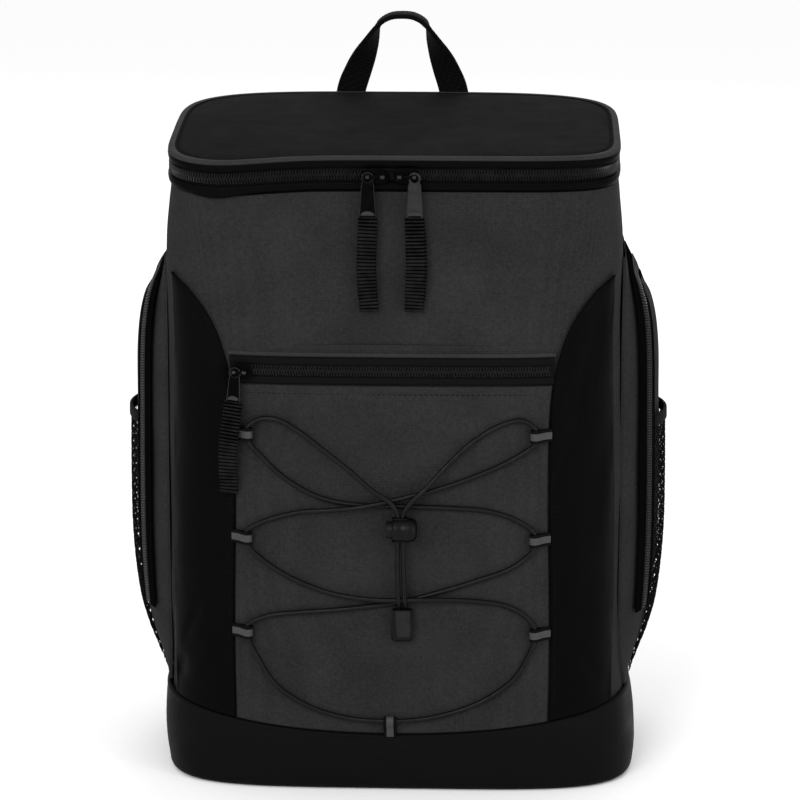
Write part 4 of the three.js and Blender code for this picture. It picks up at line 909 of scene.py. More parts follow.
make_body()
make_base()
make_lid()
make_binding("lid_lower_piping", LID_FOOT_BINDING, 5.2, "lid_lower_binding", 2.6)
make_binding("lid_upper_piping", LID_FOOT_UPPER, 4.9, "lid_upper_binding", 0)
make_lid_zip()


# Sheets on the front and sides
EDGE_STEPS = (0.0, 0.25, 0.7, 1.4)


def shares(length, pieces):
    """Shares of a length, with short steps next to both ends for a rolled edge."""
    near = [d / length for d in EDGE_STEPS]
    inner = [mix(near[-1], 1 - near[-1], t) for t in steps(pieces)]
    return near[:-1] + inner + [1 - v for v in near[:-1]][::-1]


def roll(distance, radius=1.4):
    """How far a rolled edge falls below its sheet, at a distance from the edge."""
    d = clamp(distance, 0, radius)
    return radius - math.sqrt(radius**2 - (radius - d) ** 2)


def between(start, end, z, share):
    """A place across the front, closest to its neighbours where the body turns."""
    width, _, _, square, _, shift = section(z)

    def angle(x):
        return math.acos(clamp(signed_power((x - shift) / width, square / 2), -1, 1))

    return shift + width * signed_power(math.cos(mix(angle(start), angle(end), share)), 2 / square)


# A wing's edges at shares of its height: inner and outer
WING_ROWS = [
    (0.0, 1.0, 0.95), (0.12, 1.004, 0.952), (0.3, 1.0, 0.951), (0.5, 0.988, 0.947), (0.68, 0.99, 0.938),
    (0.76, 1.005, 0.934), (0.82, 1.035, 0.932), (0.88, 1.09, 0.932), (0.93, 1.17, 0.936),
    (0.975, 1.28, 0.939), (1.0, 1.37, 0.941),
]


def wing_row(z):
    return clamp((z - SEAM_LOW) / (WING_APEX - SEAM_LOW))


def wing_inner(z):
    return WING_INNER_HALF * look_up(WING_ROWS, wing_row(z), 1)


def wing_outer(z):
    return BODY_HALF_WIDTH * look_up(WING_ROWS, wing_row(z), 2)


# Creases of the wings: side, across and up of both ends, half width and depth, less than 0 for a fold
CREASES = [
    (-1, 139, 96, 128, 122, 3.2, 1.0), (-1, 139, 84, 143, 70, 3.0, 1.4), (-1, 134, 72, 120, 98, 4.0, -0.8),
    (-1, 122, 262, 108, 292, 5.5, -1.0), (-1, 106, 232, 112, 256, 5.0, -0.6),
    (1, 108, 258, 124, 306, 5.0, -1.4), (1, 118, 250, 133, 318, 4.5, 1.3), (1, 104, 218, 116, 250, 4.0, -0.9),
    (1, 104, 196, 113, 238, 3.6, 0.9), (1, 130, 180, 138, 240, 6.0, 0.8), (1, 112, 120, 128, 168, 7.0, -0.7),
    (1, 136, 74, 124, 96, 3.6, 0.9),
]


def crease_height(x, z):
    total = 0.0
    for side, x0, z0, x1, z1, half, depth in CREASES:
        if x * side <= 0:
            continue
        along = Vector((x1 - x0, z1 - z0))
        offset = Vector((abs(x) - x0, z - z0))
        t = offset.dot(along) / along.length_squared
        off = abs(offset.x * along.y - offset.y * along.x) / along.length
        total -= depth * math.exp(-((off / half) ** 2)) * ease((t + 0.25) / 0.5) * ease((1.25 - t) / 0.5)
    return total


def wing_height(x, z, across):
    """How far the wing's cloth stands off: a swell, a ridge by its inner edge, creases and wrinkles."""
    row = wing_row(z)
    swell = 1.6 * math.sin(math.pi * across) * min(1, 8 * row * (1 - row))
    inner_edge = abs(x) - wing_inner(z)
    ridge = 0.7 * bell(inner_edge, 5, 4) * ease((row - 0.45) / 0.3) * ease((1 - row) / 0.1)
    fine = ripple(x, z * 0.45, 7, 15, 0.45, 2.6) + ripple(x * 1.2, z, 3, 44, 1.0, 9.1)
    fade = ease(across / 0.12) * ease((1 - across) / 0.12)
    return swell + ridge + (fine + crease_height(x, z)) * fade


def make_wing(hand, side):
    rows = []
    for up in shares(WING_APEX - SEAM_LOW, 110):
        straight = mix(SEAM_LOW, WING_APEX, up)
        inner, outer = wing_inner(straight), wing_outer(straight)
        row = []
        for t in shares(outer - inner, 34):
            x = between(side * inner, side * outer, straight, t)
            z = mix(seam_height(x) + SEAM_GAP, WING_APEX, up)
            edge = min(t * (outer - inner), (1 - t) * (outer - inner), up * 300, (1 - up) * 300)
            out = SKIN_GAP + FRONT_CLOTH + wing_height(x, z, t) - roll(edge, 1.2)
            row.append((x, front_y(x, z, out), z))
        rows.append(row if side > 0 else row[::-1])
    height = SKIN_GAP + FRONT_CLOTH + 0.2
    places = [on_front(side * (wing_inner(z) + 3), z, height) for z in range(60, 338, 4)]
    thread = stitches(Path(places, [(0, -1, 0)] * len(places)), 3.6, 2.4, 0.5, foot=0.1)
    shape = joined(thick_sheet(rows, FRONT_CLOTH - 1.2), thread, looks=(0, 1))
    new_object(f"wing_cloth_{hand}", shape, [COATED, THREAD], [f"wing_{hand}"])


def pocket_relief(x, z):
    """Shallow dents where the cord pulls on the cloth, and the fold of its top hem."""
    soft = ripple(x, z, 2, 60, 1.1, 6.3) + ripple(x, z, 5, 24, 0.35, 1.8)
    pulled = sum(-1.1 * bell(abs(x), 92, 13) * bell(z, level, 9) for level in (243.5, 173.5, 109))
    middle = -0.8 * bell(x, 4, 22) * (bell(z, 196, 8) + bell(z, 134, 7))
    hem = -0.55 * bell(z, HEM_Z, 0.9)
    fade = ease((POCKET_ZIP_LOW - z) / 12) * ease((z - SEAM_LOW) / 16) * ease((wing_inner(z) - abs(x)) / 12)
    return (soft + pulled + middle) * fade + hem


def make_pocket():
    top = POCKET_ZIP_LOW - SEAM_GAP
    rows = []
    for up in shares(top - SEAM_LOW, 120):
        level = mix(SEAM_LOW, top, up)
        edge = wing_inner(level) - SEAM_GAP
        row = []
        for t in shares(2 * edge, 90):
            x = between(-edge, edge, level, t)
            z = mix(seam_height(x) + SEAM_GAP, top, up)
            near = min(t * 2 * edge, (1 - t) * 2 * edge, up * 240, (1 - up) * 240)
            out = pocket_out(x, z) + FRONT_CLOTH + pocket_relief(x, z) - roll(near, 1.2)
            row.append((x, front_y(x, z, out), z))
        rows.append(row)
    places = [on_cloth(x, HEM_Z, -0.35) for x in range(-98, 99, 4)]
    hem = stitches(Path(places, [(0, -1, 0)] * len(places)), 3.4, 2.4, 0.5)
    shape = joined(thick_sheet(rows, FRONT_CLOTH - 1.2), hem, looks=(0, 1))
    new_object("pocket_cloth", shape, [GREY_CLOTH, PALE_THREAD], ["front_pocket"])


def level_path(z, reach, height):
    xs = [mix(-reach, reach, t) for t in steps(int(2 * reach / 3))]
    return Path([on_front(x, z, height) for x in xs], [way_out(on_front, x, z) for x in xs])


def make_pocket_zip():
    middle = (POCKET_ZIP_LOW + POCKET_ZIP_HIGH) / 2
    tall = POCKET_ZIP_HIGH - POCKET_ZIP_LOW
    path = level_path(middle, wing_inner(middle) - SEAM_GAP - 1, SKIN_GAP)
    parts = [path.sweep(rounded(tall + 0.6, 1.2, 0), 90)]
    for side in (-1, 1):
        parts.append(path.sweep(shifted(rounded(4.6, 1.7, 0.4, 0.4), side * (tall / 2 - 2.4)), 90))
    new_object("pocket_tape", joined(*parts), TAPE, ["pocket_zip_tape"])
    coil = teeth(path, 2, path.length - 2, 3.3, 1.7, 1.1)
    new_object("pocket_teeth", coil, COIL, ["pocket_zip_coil"], weld=False)
    lip = level_path(POCKET_ZIP_HIGH + 1.7, wing_inner(POCKET_ZIP_HIGH) - 3, 0)
    flat = lip.sweep(shifted(rounded(7.0, 1.0, -0.3, 0.5, 3), -3.4), 90)
    fold = lip.sweep(rounded(3.0, 2.2, -0.4, 0.5, 4), 90)
    thread_path = level_path(POCKET_ZIP_HIGH + 4.6, wing_inner(POCKET_ZIP_HIGH + 5) - 4, 0.5)
    # The fold takes the paler cloth: a painted highlight along it
    shape = joined(flat, fold, stitches(thread_path, 3.4, 2.4, 0.5), looks=(0, 1, 2))
    new_object("zip_lip", shape, [GREY_CLOTH, PALE_EDGE_HIGHLIGHT, PALE_THREAD])


# The side pocket's swell and length at shares of its height
DOME_ROWS = [
    (0.0, 0.02, 0.86), (0.05, 0.28, 0.95), (0.1, 0.55, 1.0), (0.18, 0.8, 1.0), (0.3, 0.96, 1.0),
    (0.45, 1.0, 1.0), (0.62, 0.99, 1.0), (0.8, 0.95, 1.0), (0.88, 0.78, 0.98), (0.92, 0.47, 0.95),
    (0.945, 0.22, 0.92), (0.975, 0.06, 0.88), (1.0, 0.01, 0.84),
]
SIDE_CLOTH = 1.6


def dome_share(z):
    return clamp((z - SIDE_LOW) / (SIDE_HIGH - SIDE_LOW))


def dome_ends(z):
    middle = (SIDE_FRONT + SIDE_BACK) / 2
    half = (SIDE_BACK - SIDE_FRONT) / 2 * look_up(DOME_ROWS, dome_share(z), 2)
    return middle - half, middle + half


def dome_x(y, z):
    front, back = dome_ends(z)
    t = clamp((y - front) / (back - front))
    bulge = look_up(DOME_ROWS, dome_share(z), 1)
    return side_x(y, z, SKIN_GAP + SIDE_CLOTH) + POCKET_BULGE * bulge * math.sin(math.pi * t) ** 0.9


def on_side(side, y, z, height=0.0):
    return Vector((side * (dome_x(y, z) + height) + section(z)[5], y, z))


def side_out(side, y, z):
    back = on_side(side, y + 1, z) - on_side(side, y - 1, z)
    up = on_side(side, y, z + 1) - on_side(side, y, z - 1)
    return back.cross(up).normalized() * side


def make_side_pocket(hand, side):
    rows = []
    for up in shares(SIDE_HIGH - SIDE_LOW, 90):
        z = mix(SIDE_LOW, SIDE_HIGH, up)
        front, back = dome_ends(z)
        row = []
        for t in shares(back - front, 46):
            y = mix(front, back, t)
            soft = ripple(y, z, 4 * side, 46, 1.0, 3.7) * ease(t / 0.15) * ease((1 - t) / 0.15)
            soft *= ease(up / 0.1)
            near = min(t, 1 - t) * (back - front)
            row.append(on_side(side, y, z, soft * ease((1 - up) / 0.1) - 2 * roll(near, 1.0)))
        rows.append(row if side > 0 else row[::-1])
    shape = thick_sheet(rows, SIDE_CLOTH - 1)
    new_object(f"side_cloth_{hand}", shape, GREY_CLOTH, [f"side_pocket_{hand}"])


ARCH_INSET = 21
ARCH_TOP = 336
ARCH_RADIUS = 22
ARCH_LOW = 108


def arch_path(side, height):
    """The side zip's line: up the front, round over the top and down the back."""
    front, back = SIDE_FRONT + ARCH_INSET, SIDE_BACK - ARCH_INSET
    spring = ARCH_TOP - ARCH_RADIUS
    spots = [(front, mix(ARCH_LOW, spring, t)) for t in steps(46)]
    for cy, turn in ((front + ARCH_RADIUS, math.pi), (back - ARCH_RADIUS, math.pi / 2)):
        for t in steps(12)[1:]:
            a = turn - t * math.pi / 2
            spots.append((cy + ARCH_RADIUS * math.cos(a), spring + ARCH_RADIUS * math.sin(a)))
        if turn > 2:
            spots += [(mix(cy, back - ARCH_RADIUS, t), ARCH_TOP) for t in steps(12)[1:-1]]
    spots += [(back, mix(spring, ARCH_LOW, t)) for t in steps(46)[1:]]
    return Path([on_side(side, y, z, height) for y, z in spots], [side_out(side, y, z) for y, z in spots])


def make_side_zip(hand, side):
    path = arch_path(side, 0.6)
    tape = path.sweep(rounded(13, 1.3, 0), 260)
    flap = path.sweep(shifted(rounded(9.6, 1.5, 0.8, 0.4), -side * 8.4), 260)
    inner_flap = path.sweep(shifted(rounded(5.2, 1.3, 0.8, 0.4), side * 6.4), 260)
    shape = joined(tape, flap, inner_flap, looks=(0, 1, 1))
    new_object(f"side_tape_{hand}", shape, [TAPE, FLAP], [f"side_zip_tape_{hand}"])
    coil = teeth(path, 1, path.length - 1, 3.3, 1.9, 1.2)
    new_object(f"side_teeth_{hand}", coil, COIL, [f"side_zip_coil_{hand}"], weld=False)


MESH_FRONT = SIDE_FRONT + ARCH_INSET + 8
MESH_BACK = SIDE_BACK - ARCH_INSET - 8
MESH_LOW = 60.4


def on_net(side, y, z, height=0.0):
    t = clamp((y - MESH_FRONT) / (MESH_BACK - MESH_FRONT))
    rise = min(1, 4 * (z - SIDE_LOW) / (MESH_HIGH - SIDE_LOW))
    stand = 2.4 * rise * math.sin(math.pi * t) ** 0.5
    return on_side(side, y, z, SKIN_GAP + stand + height)


def make_net(hand, side):
    """A net of two sets of slanting strands that pass over and under each other, and its binding."""
    strands = []
    pitch, rise, radius = 4.2, 1.25, 0.42
    tall = MESH_HIGH - MESH_LOW
    wide = MESH_BACK - MESH_FRONT
    turns = [math.pi / 4 + k * math.pi / 2 for k in range(4)]
    ring = [Vector((side * math.sin(a) * radius, math.cos(a) * radius * 1.2, 0)) for a in turns]
    for sense in (-1, 1):
        first = -int(tall / rise / pitch) if sense > 0 else 0
        last = int(wide / pitch) if sense > 0 else int((wide + tall / rise) / pitch)
        for i in range(first, last + 1):
            sections = []
            for step in range(int(tall / (pitch * rise) * 2) + 2):
                z = MESH_LOW + min(tall, step * pitch * rise / 2)
                y = MESH_FRONT + i * pitch + sense * (z - MESH_LOW) / rise
                if MESH_FRONT - 0.1 <= y <= MESH_BACK + 0.1:
                    over = 0.35 if (step + i) % 2 == (sense > 0) else -0.35
                    centre = on_net(side, y, z, 0.6 + over)
                    sections.append([centre + offset for offset in ring])
            if len(sections) > 1:
                strands.append(tube(sections))
    name = f"net_{hand}"
    net = new_object(name, joined(*strands), NET, [f"mesh_pocket_{hand}"], sharp=180)
    z = MESH_HIGH + 4
    ys = [mix(MESH_FRONT, MESH_BACK, t) for t in steps(40)]
    path = Path([on_net(side, y, z) for y in ys], [side_out(side, y, z) for y in ys])
    band = path.sweep(rounded(8, 2.2, 0, 0.5, 4), 60)
    new_object(f"net_binding_{hand}", band, TAPE, [f"mesh_binding_{hand}"])


make_pocket()
make_pocket_zip()
for hand, side in (("left", -1), ("right", 1)):
    make_wing(hand, side)
    make_side_pocket(hand, side)
    make_side_zip(hand, side)
    make_net(hand, side)


# Cord loops: black webbing with a silver stripe, folded round the cord
STRIPE_OUTLINE = [
    (4.1, -0.45), (4.3, 0.0), (4.1, 0.45), (2.3, 0.47), (-2.3, 0.47),
    (-4.1, 0.45), (-4.3, 0.0), (-4.1, -0.45), (-2.3, -0.47), (2.3, -0.47),
]
STRIPE_SIDES = (3, 8)


def loop_line(bend):
    """Places and ways out of the fold's middle line, from its root round the bend and back."""
    half = LOOP_WEBBING / 2
    radius = CORD_IN_LOOP - half
    line = [((-2.2, half - 0.2), (0, -1)), ((0, half), (0, -1)), ((bend * 0.6, half), (0, -1))]
    for t in steps(10):
        a = -math.pi / 2 + t * math.pi
        c, s = math.cos(a), math.sin(a)
        line.append(((bend + radius * c, CORD_IN_LOOP + radius * s), (c, s)))
    high = 3 * half + GAP
    for share, rise in ((0.75, 0.8), (0.5, 0.42), (0.25, 0.12), (0, 0)):
        tall = high + rise * (2 * CORD_IN_LOOP - half - high)
        line.append(((bend * share, tall), (-0.5 * (share > 0), 1)))
    line.append(((-2.2, high - 0.4), (0, 1)))
    return line


def make_loop(name):
    axes = cloth_frame(*LOOPS[name], GAP)
    turn = axes.to_3x3()
    line = loop_line(LOOP_LENGTH - CORD_IN_LOOP)
    path = Path([axes @ Vector((*p, 0)) for p, _ in line], [turn @ Vector((*o, 0)) for _, o in line])
    count = 60
    shape = path.sweep(STRIPE_OUTLINE, count)
    shape.looks = [int(j in STRIPE_SIDES) for j in range(len(STRIPE_OUTLINE))] * count + [0, 0]
    new_object(f"loop_tape_{name}", shape, [WEBBING, SILVER], [f"cord_loop_{name}"])


# Round and flat fittings
def lathe(profile, place):
    """A turned body along X, from pairs of radius and x."""
    sections = []
    turns = [2 * math.pi * j / 48 for j in range(48)]
    for radius, x in profile:
        centre = Vector(place) + Vector((x, 0, 0))
        sections.append([centre + Vector((0, math.cos(a), math.sin(a))) * radius for a in turns])
    return tube(sections)


def oval(half, radius):
    """Points of a rounded slot, anticlockwise, its straight sides along the first axis."""
    points = []
    for sign, turn in ((1, -math.pi / 2), (-1, math.pi / 2)):
        for t in steps(12):
            a = turn + t * math.pi
            points.append((sign * half + radius * math.cos(a), radius * math.sin(a)))
    return points


def box(half, low, high):
    """The corners of an oblong, anticlockwise."""
    return [(-half, low), (half, low), (half, high), (-half, high)]


def round_corners(corners, radius, count=4):
    """An outline with each corner rounded: points as (a, b)."""
    points = []
    for before, corner, after in zip([corners[-1], *corners[:-1]], corners, [*corners[1:], corners[0]]):
        c = Vector(corner)
        to_before, to_after = Vector(before) - c, Vector(after) - c
        cut = min(radius, to_before.length * 0.45, to_after.length * 0.45)
        start, end = c + to_before.normalized() * cut, c + to_after.normalized() * cut
        for t in steps(count):
            points.append(tuple(start.lerp(c, t).lerp(c.lerp(end, t), t)))
    return points


def inset(loop, by):
    """An outline moved to its left: inwards for an anticlockwise outline, outwards for a clockwise hole."""
    moved = []
    n = len(loop)
    for i, point in enumerate(loop):
        along = (Vector(loop[(i + 1) % n]) - Vector(loop[i - 1])).normalized()
        moved.append((point[0] - along.y * by, point[1] + along.x * by))
    return moved


def plate(loops, low, high, bevel=0.4, looks=(0, 0)):
    """A flat plate from low to high: an anticlockwise outline of (a, b) and clockwise holes."""
    shape = Shape()
    inner = [inset(loop, bevel) for loop in loops]
    layers = ((inner, low), (loops, low + bevel), (loops, high - bevel), (inner, high))
    for (lower, z0), (upper, z1) in zip(layers, layers[1:]):
        for a, b in zip(lower, upper):
            shape.grid([[(*p, z0) for p in a], [(*p, z1) for p in b]], closed=True, look=looks[1])
    flat = [p for loop in inner for p in loop]
    triangles = tessellate_polygon([[Vector((*p, 0)) for p in loop] for loop in inner])
    shape.add([(*p, high) for p in flat], triangles, looks[0])
    shape.add([(*p, low) for p in flat], [t[::-1] for t in triangles], looks[0])
    return shape


def placed(shape, axes, turned=Vector):
    moved = Shape()
    moved.add([axes @ turned(p) for p in shape.points], shape.faces, shape.looks, shape.marks)
    return moved


def stood(shape, axes):
    """A plate in a frame, with its points' across, up and thick as X, Z and the way out along -Y."""
    return placed(shape, axes, lambda p: Vector((p[0], -p[2], p[1])))


# Cord lock and end cap
LOCK_PLACE = (0.0, on_cloth(0, LOCK_Z, GAP + LOCK_RADIUS).y, LOCK_Z)
BARREL_PROFILE = [
    (0.0, 15.4), (6.05, 15.4), (6.05, 2.2), (6.2, 1.5), (6.6, 1.15), (7.2, 1.25), (7.7, 1.9), (7.9, 2.9),
    (7.9, 6.0), (7.75, 6.6), (7.75, 7.2), (7.9, 7.8), (7.9, 12.2), (7.8, 13.4), (7.45, 14.8), (6.8, 15.9),
    (5.9, 16.6), (4.6, 17.0), (0.0, 17.15),
]
BUTTON_PROFILE = [
    (0.0, -2.2), (2.6, -2.25), (3.6, -2.5), (4.1, -2.95), (4.7, -3.05), (5.2, -2.9), (5.6, -2.3), (5.7, -1.5),
    (5.7, 13.0), (0.0, 13.0),
]


def make_lock():
    parts = [lathe(BARREL_PROFILE, LOCK_PLACE)]
    middle, half = (TAIL_LEFT_X + TAIL_RIGHT_X) / 2, (TAIL_RIGHT_X - TAIL_LEFT_X) / 2
    for sense in (1, -1):
        places = []
        for a, b in oval(half + 0.4, 2.5):
            z = LOCK_Z + sense * (math.sqrt(LOCK_RADIUS**2 - b**2) - 0.15)
            places.append((middle + a, LOCK_PLACE[1] + b, z))
        path = Path(places, [(0, 0, sense)] * len(places), closed=True)
        parts.append(path.sweep(rounded(1.3, 1.0, -0.3, 0.5, 3), 60))
    new_object("lock_shell", joined(*parts), BLACK_PLASTIC, ["lock_barrel"], sharp=60)
    button = lathe(BUTTON_PROFILE, LOCK_PLACE)
    body = "lock_button_body"
    new_object("lock_cap", button, BUTTON_PLASTIC, ["lock_button"], body, sharp=40)


CAP_X = (TAIL_LEFT_X + TAIL_RIGHT_X) / 2 + 1.2
CAP_OUTLINE = [(-7.4, -19.6), (-5.6, -21.6), (5.6, -21.6), (7.4, -19.6), (6.7, -0.2), (-6.7, -0.2)]
CAP_FACE = [(-3.6, -17.6), (-2.4, -18.6), (4.6, -18.6), (5.4, -17.6), (5.2, -0.5), (-4.6, -0.5)]


def make_end_cap():
    axes = Matrix.Translation((CAP_X, on_cloth(CAP_X, CAP_TOP, GAP).y, CAP_TOP))
    body = plate([round_corners(CAP_OUTLINE, 1.2)], 0, 6.4, 1.1)
    face = plate([round_corners(CAP_FACE, 0.8)], 6.0, 7.2, 0.5)
    # The raised front face takes the lighter plastic: painted highlight, while its bevels stay black
    shape = joined(stood(body, axes), stood(face, axes), looks=(0, 1))
    new_object("cap_shell", shape, [BLACK_PLASTIC, PLASTIC_PAINTED_HIGHLIGHT], ["cord_end_cap"], sharp=35)


# Zip sliders, pulls and ribbons
SLIDER_PLATE = 2.4
BAR_OUT = 6.9
BAR_RADIUS = 1.15
EYE_DROP = 1.2
PULL_BEHIND_BAR = 2.3
PULL_THICKNESS = 1.5
PULL_REST = 0.045
POCKET_SLIDER = (-96.5, -95.021, 285.7)
POCKET_HINGE = (-101.212, -101.256, 285.7)


def bent_rod(points, radius, axes):
    """A round rod along a few points, in a frame with -Y out."""
    line = smooth_line([Vector(p) for p in points], 6)
    path = Path([axes @ p for p in line], [axes.to_3x3() @ Vector((0, 0, 1))] * len(line))
    turns = [2 * math.pi * i / 12 for i in range(12)]
    return path.sweep([(radius * math.cos(a), radius * math.sin(a)) for a in turns], len(line) * 2)


def make_slider(name, node_name, axes, side, long, reach):
    """A slider: a shield-shaped plate over the teeth, its side walls and the bar that the pull hangs on."""
    half = long / 2
    neck = half * 0.45
    shield = [(-half, -3.2), (-neck, -5.2), (neck, -5.2), (half, -3.2), (half, 3.2), (neck, 5.2)]
    shield += [(-neck, 5.2), (-half, 3.2)]
    top = plate([round_corners(shield, 1.8)], 0.9, SLIDER_PLATE, 0.5)
    skirt = plate([round_corners([(a * 0.94, b * 0.92) for a, b in shield], 1.6)], 0.0, 0.9, 0.1)
    foot = side * (2 * BAR_RADIUS - half)
    tip = foot + side * reach
    bridge = [(foot, -1.6, 0), (foot, -4.4, 0), (foot + side * 0.6, -6.3, 0)]
    bridge += [(x, -BAR_OUT, 0) for x in (foot + side * 2.4, foot + side * reach * 0.6, tip)]
    post = plate([round_corners(box(1.6, -1.8, 1.8), 0.7)], SLIDER_PLATE - 0.3, 3.2, 0.3)
    post.points = [(p[0] + foot, p[1], p[2]) for p in post.points]
    parts = [stood(part, axes) for part in (top, skirt, post)] + [bent_rod(bridge, BAR_RADIUS, axes)]
    # Sleeves at both ends of the bar take the lighter metal: a painted highlight where the bar bends
    for start, end in ((foot + side * 0.4, foot + side * 3.0), (tip - side * 2.2, tip - side * 0.1)):
        xs = (start, (start + end) / 2, end)
        parts.append(bent_rod([(x, -BAR_OUT, 0) for x in xs], 1.28, axes))
    shape = joined(*parts, looks=(0, 0, 0, 0, 1, 1))
    new_object(name, shape, [DARK_METAL, METAL_PAINTED_LIGHT], [node_name], sharp=40)


def pull_outline(long, wide, neck):
    """A tab with a round eye at its top, widening to its foot: across and up, from the eye's middle."""
    points = []
    for t in steps(20):
        a = math.radians(-35 + t * 250)
        points.append((4 * math.cos(a), 4 * math.sin(a)))
    left = [(-neck / 2, -4.6), (-neck / 2 - 0.1, -9), (-wide / 2, 5.6 - long), (-wide / 2 + 1.4, 4 - long)]
    right = [(-x, z) for x, z in reversed(left)]
    return points + left + right


def make_pull(name, nodes, axes, body, size, looks):
    long, wide, neck = size
    eye = [(2.5 * math.cos(a), 2.5 * math.sin(a)) for a in (-2 * math.pi * i / 24 for i in range(24))]
    low, high = 5.8 - long, 8.4 - long
    half = wide / 2 - 1.6
    outline = pull_outline(long, wide, neck)
    slot_loop = round_corners(box(half, low, high)[::-1], 0.8)
    # The tab's faces take its first material and its edges the second, lighter one: painted highlight along
    # the edges
    tab = plate([outline, eye, slot_loop], 0, PULL_THICKNESS, 0.42, (0, 1))
    raised = [(a, b) for a, b in inset(outline, 1.2) if high + 4.2 < b < -5.6]
    rim = plate([raised], PULL_THICKNESS - 0.2, PULL_THICKNESS + 0.18, 0.15)
    wide_foot = half + 0.7
    moon = [(-wide_foot, high + 0.5), (wide_foot, high + 0.5)]
    for i in range(1, 12):
        a = math.pi * i / 12
        moon.append((wide_foot * math.cos(a), high + 0.5 + 3.0 * math.sin(a)))
    crescent = plate([moon], PULL_THICKNESS - 0.2, PULL_THICKNESS + 0.5, 0.3, (2, 2))
    shape = joined(tab, rim, crescent)
    behind = PULL_BEHIND_BAR + PULL_THICKNESS / 2
    shape.points = [(a, b - EYE_DROP, c - behind) for a, b, c in shape.points]
    new_object(name, stood(shape, axes), [*looks, PALE_METAL_AND_HIGHLIGHT], nodes, body, sharp=30)


# A ribbon's bow to the side and forward, at shares of its length
RIBBON_ROWS = [(0.0, 0.0, 0.0), (0.25, -0.5, 0.5), (0.55, -1.0, 1.0), (0.8, -0.3, 0.7), (1.0, 0.6, 0.0)]
RIBBON_LENGTH = 61.1
RIB_PITCH = 2.35


def ribbon_line(long, bow, second):
    """The middle line of a doubled ribbon: down in front, round its foot and up behind."""
    half = 0.75
    front, back = [], []
    for t in steps(40):
        x = look_up(RIBBON_ROWS, t, 1) * bow
        y = PULL_BEHIND_BAR - look_up(RIBBON_ROWS, t, 2)
        bulge = math.sin(math.pi * t)
        front.append(((x, y - half - 0.5 * bulge**2, -t * long), (0, -1, 0)))
        back.append(((x + second * bulge, y + half, -t * long), (0, 1, 0)))
    foot = []
    for i in range(1, 6):
        c, s = math.cos(math.pi * i / 6), math.sin(math.pi * i / 6)
        foot.append(((0.6 * bow, PULL_BEHIND_BAR - half * c, -long - half * s), (0, -c, -s)))
    return front + foot + back[::-1]


def make_ribbon(name, nodes, axes, body, pull_long, bow, second):
    top = Vector((0, 0, 7.8 - EYE_DROP - pull_long))
    line = ribbon_line(RIBBON_LENGTH, bow, second)
    turn = axes.to_3x3()
    path = Path([axes @ (Vector(p) + top) for p, _ in line], [turn @ Vector(o) for _, o in line])

    def profile(s):
        rib = 0.5 + 0.5 * math.cos(2 * math.pi * s / RIB_PITCH)
        thick = 0.3 + 0.3 * rib**0.6
        edge = 6.1 + 0.08 * math.sin(s * 1.9)
        side = [(edge, 0.0), (edge - 0.25, thick * 0.8), (edge - 1.1, thick * 0.9)]
        face = [*side, (edge - 1.5, thick), (0, thick), (1.5 - edge, thick)]
        face += [(-a, o) for a, o in side[::-1]]
        return face + [(0.25 - edge, -thick * 0.8), (0, -thick), (edge - 0.25, -thick * 0.8)]

    count = int(path.length / RIB_PITCH * 8)
    shape = path.sweep(profile, count)
    # The grooves between the ribs take the near-black material: painted shade
    looks = []
    for i in range(count):
        s = (i + 0.5) / count * path.length
        looks += [int(math.cos(2 * math.pi * s / RIB_PITCH) <= -0.35)] * 12
    shape.looks = [*looks, 0, 0]
    new_object(name, shape, [RIBBON_RIB, RIBBON_GROOVE_PAINTED_SHADE], nodes, body, sharp=80)


def make_zip_fittings():
    lid_y = -LID_DEPTH - 1.6
    # The right lid tab is the same part as the left, painted in lighter metals: painted light where it
    # catches the lamps
    for hand, side, x, hinge_x, looks, slot, bow, second in (
        ("left", -1, -9.8, -14.85, (DARK_METAL, METAL_PAINTED_LIGHT), "dark_metal", 1.0, 0.3),
        ("right", 1, 10.0, 15.05, (METAL_PAINTED_LIGHT, PALE_METAL_AND_HIGHLIGHT), "grey_metal", -0.6, 1.6),
    ):
        z = LID_ZIP_Z + lid_lift(x, -LID_DEPTH)
        body = f"lid_{hand}_pull_body"
        at = Matrix.Translation((x, lid_y, z))
        make_slider(f"slider_{hand}", f"lid_{hand}_slider", at, side, 17, 12.4)
        hanging = Matrix.Translation((hinge_x, lid_y - BAR_OUT, z)) @ Matrix.Rotation(PULL_REST, 4, "X")
        make_pull(f"tab_{hand}", [f"lid_{hand}_pull"], hanging, body, (33, 11, 8.4), looks)
        make_ribbon(f"ribbon_{hand}", [f"lid_{hand}_ribbon"], hanging, body, 33, bow, second)
    turn = Matrix.Rotation(math.atan2(-0.1576, 0.9875), 4, "Z")
    make_slider("slider_pocket", "pocket_slider", Matrix.Translation(POCKET_SLIDER) @ turn, -1, 14, 14 * 0.68)
    hanging = Matrix.Translation(POCKET_HINGE) @ turn
    hanging = hanging @ Matrix.Rotation(0.08, 4, "Y") @ Matrix.Rotation(PULL_REST, 4, "X")
    # The pocket tab's edges are in the lighter metal: painted highlight
    looks = (DARK_METAL, METAL_PAINTED_LIGHT)
    body = "pocket_pull_body"
    make_pull("tab_pocket", ["pocket_pull"], hanging, body, (27, 9.4, 7.5), looks)
    make_ribbon("ribbon_pocket", ["pocket_ribbon"], hanging, body, 27, 1.0, -0.8)


# Grab handle, back pad and shoulder straps
HANDLE_HALF_SPAN = 38
HANDLE_WIDTH = 23
HANDLE_THICKNESS = 3.2
# From one foot to the middle: share of the half span, height, turn and width
HANDLE_ROWS = [
    (1, 392, 0, 1), (0.94, 439.2, 0, 0.86), (0.8, 455.3, 0.25, 0.86), (0.58, 474.4, 0.7, 0.94),
    (0.42, 487.5, 1, 1), (0.22, 492.4, 1, 1), (0, 493.4, 1, 1),
]


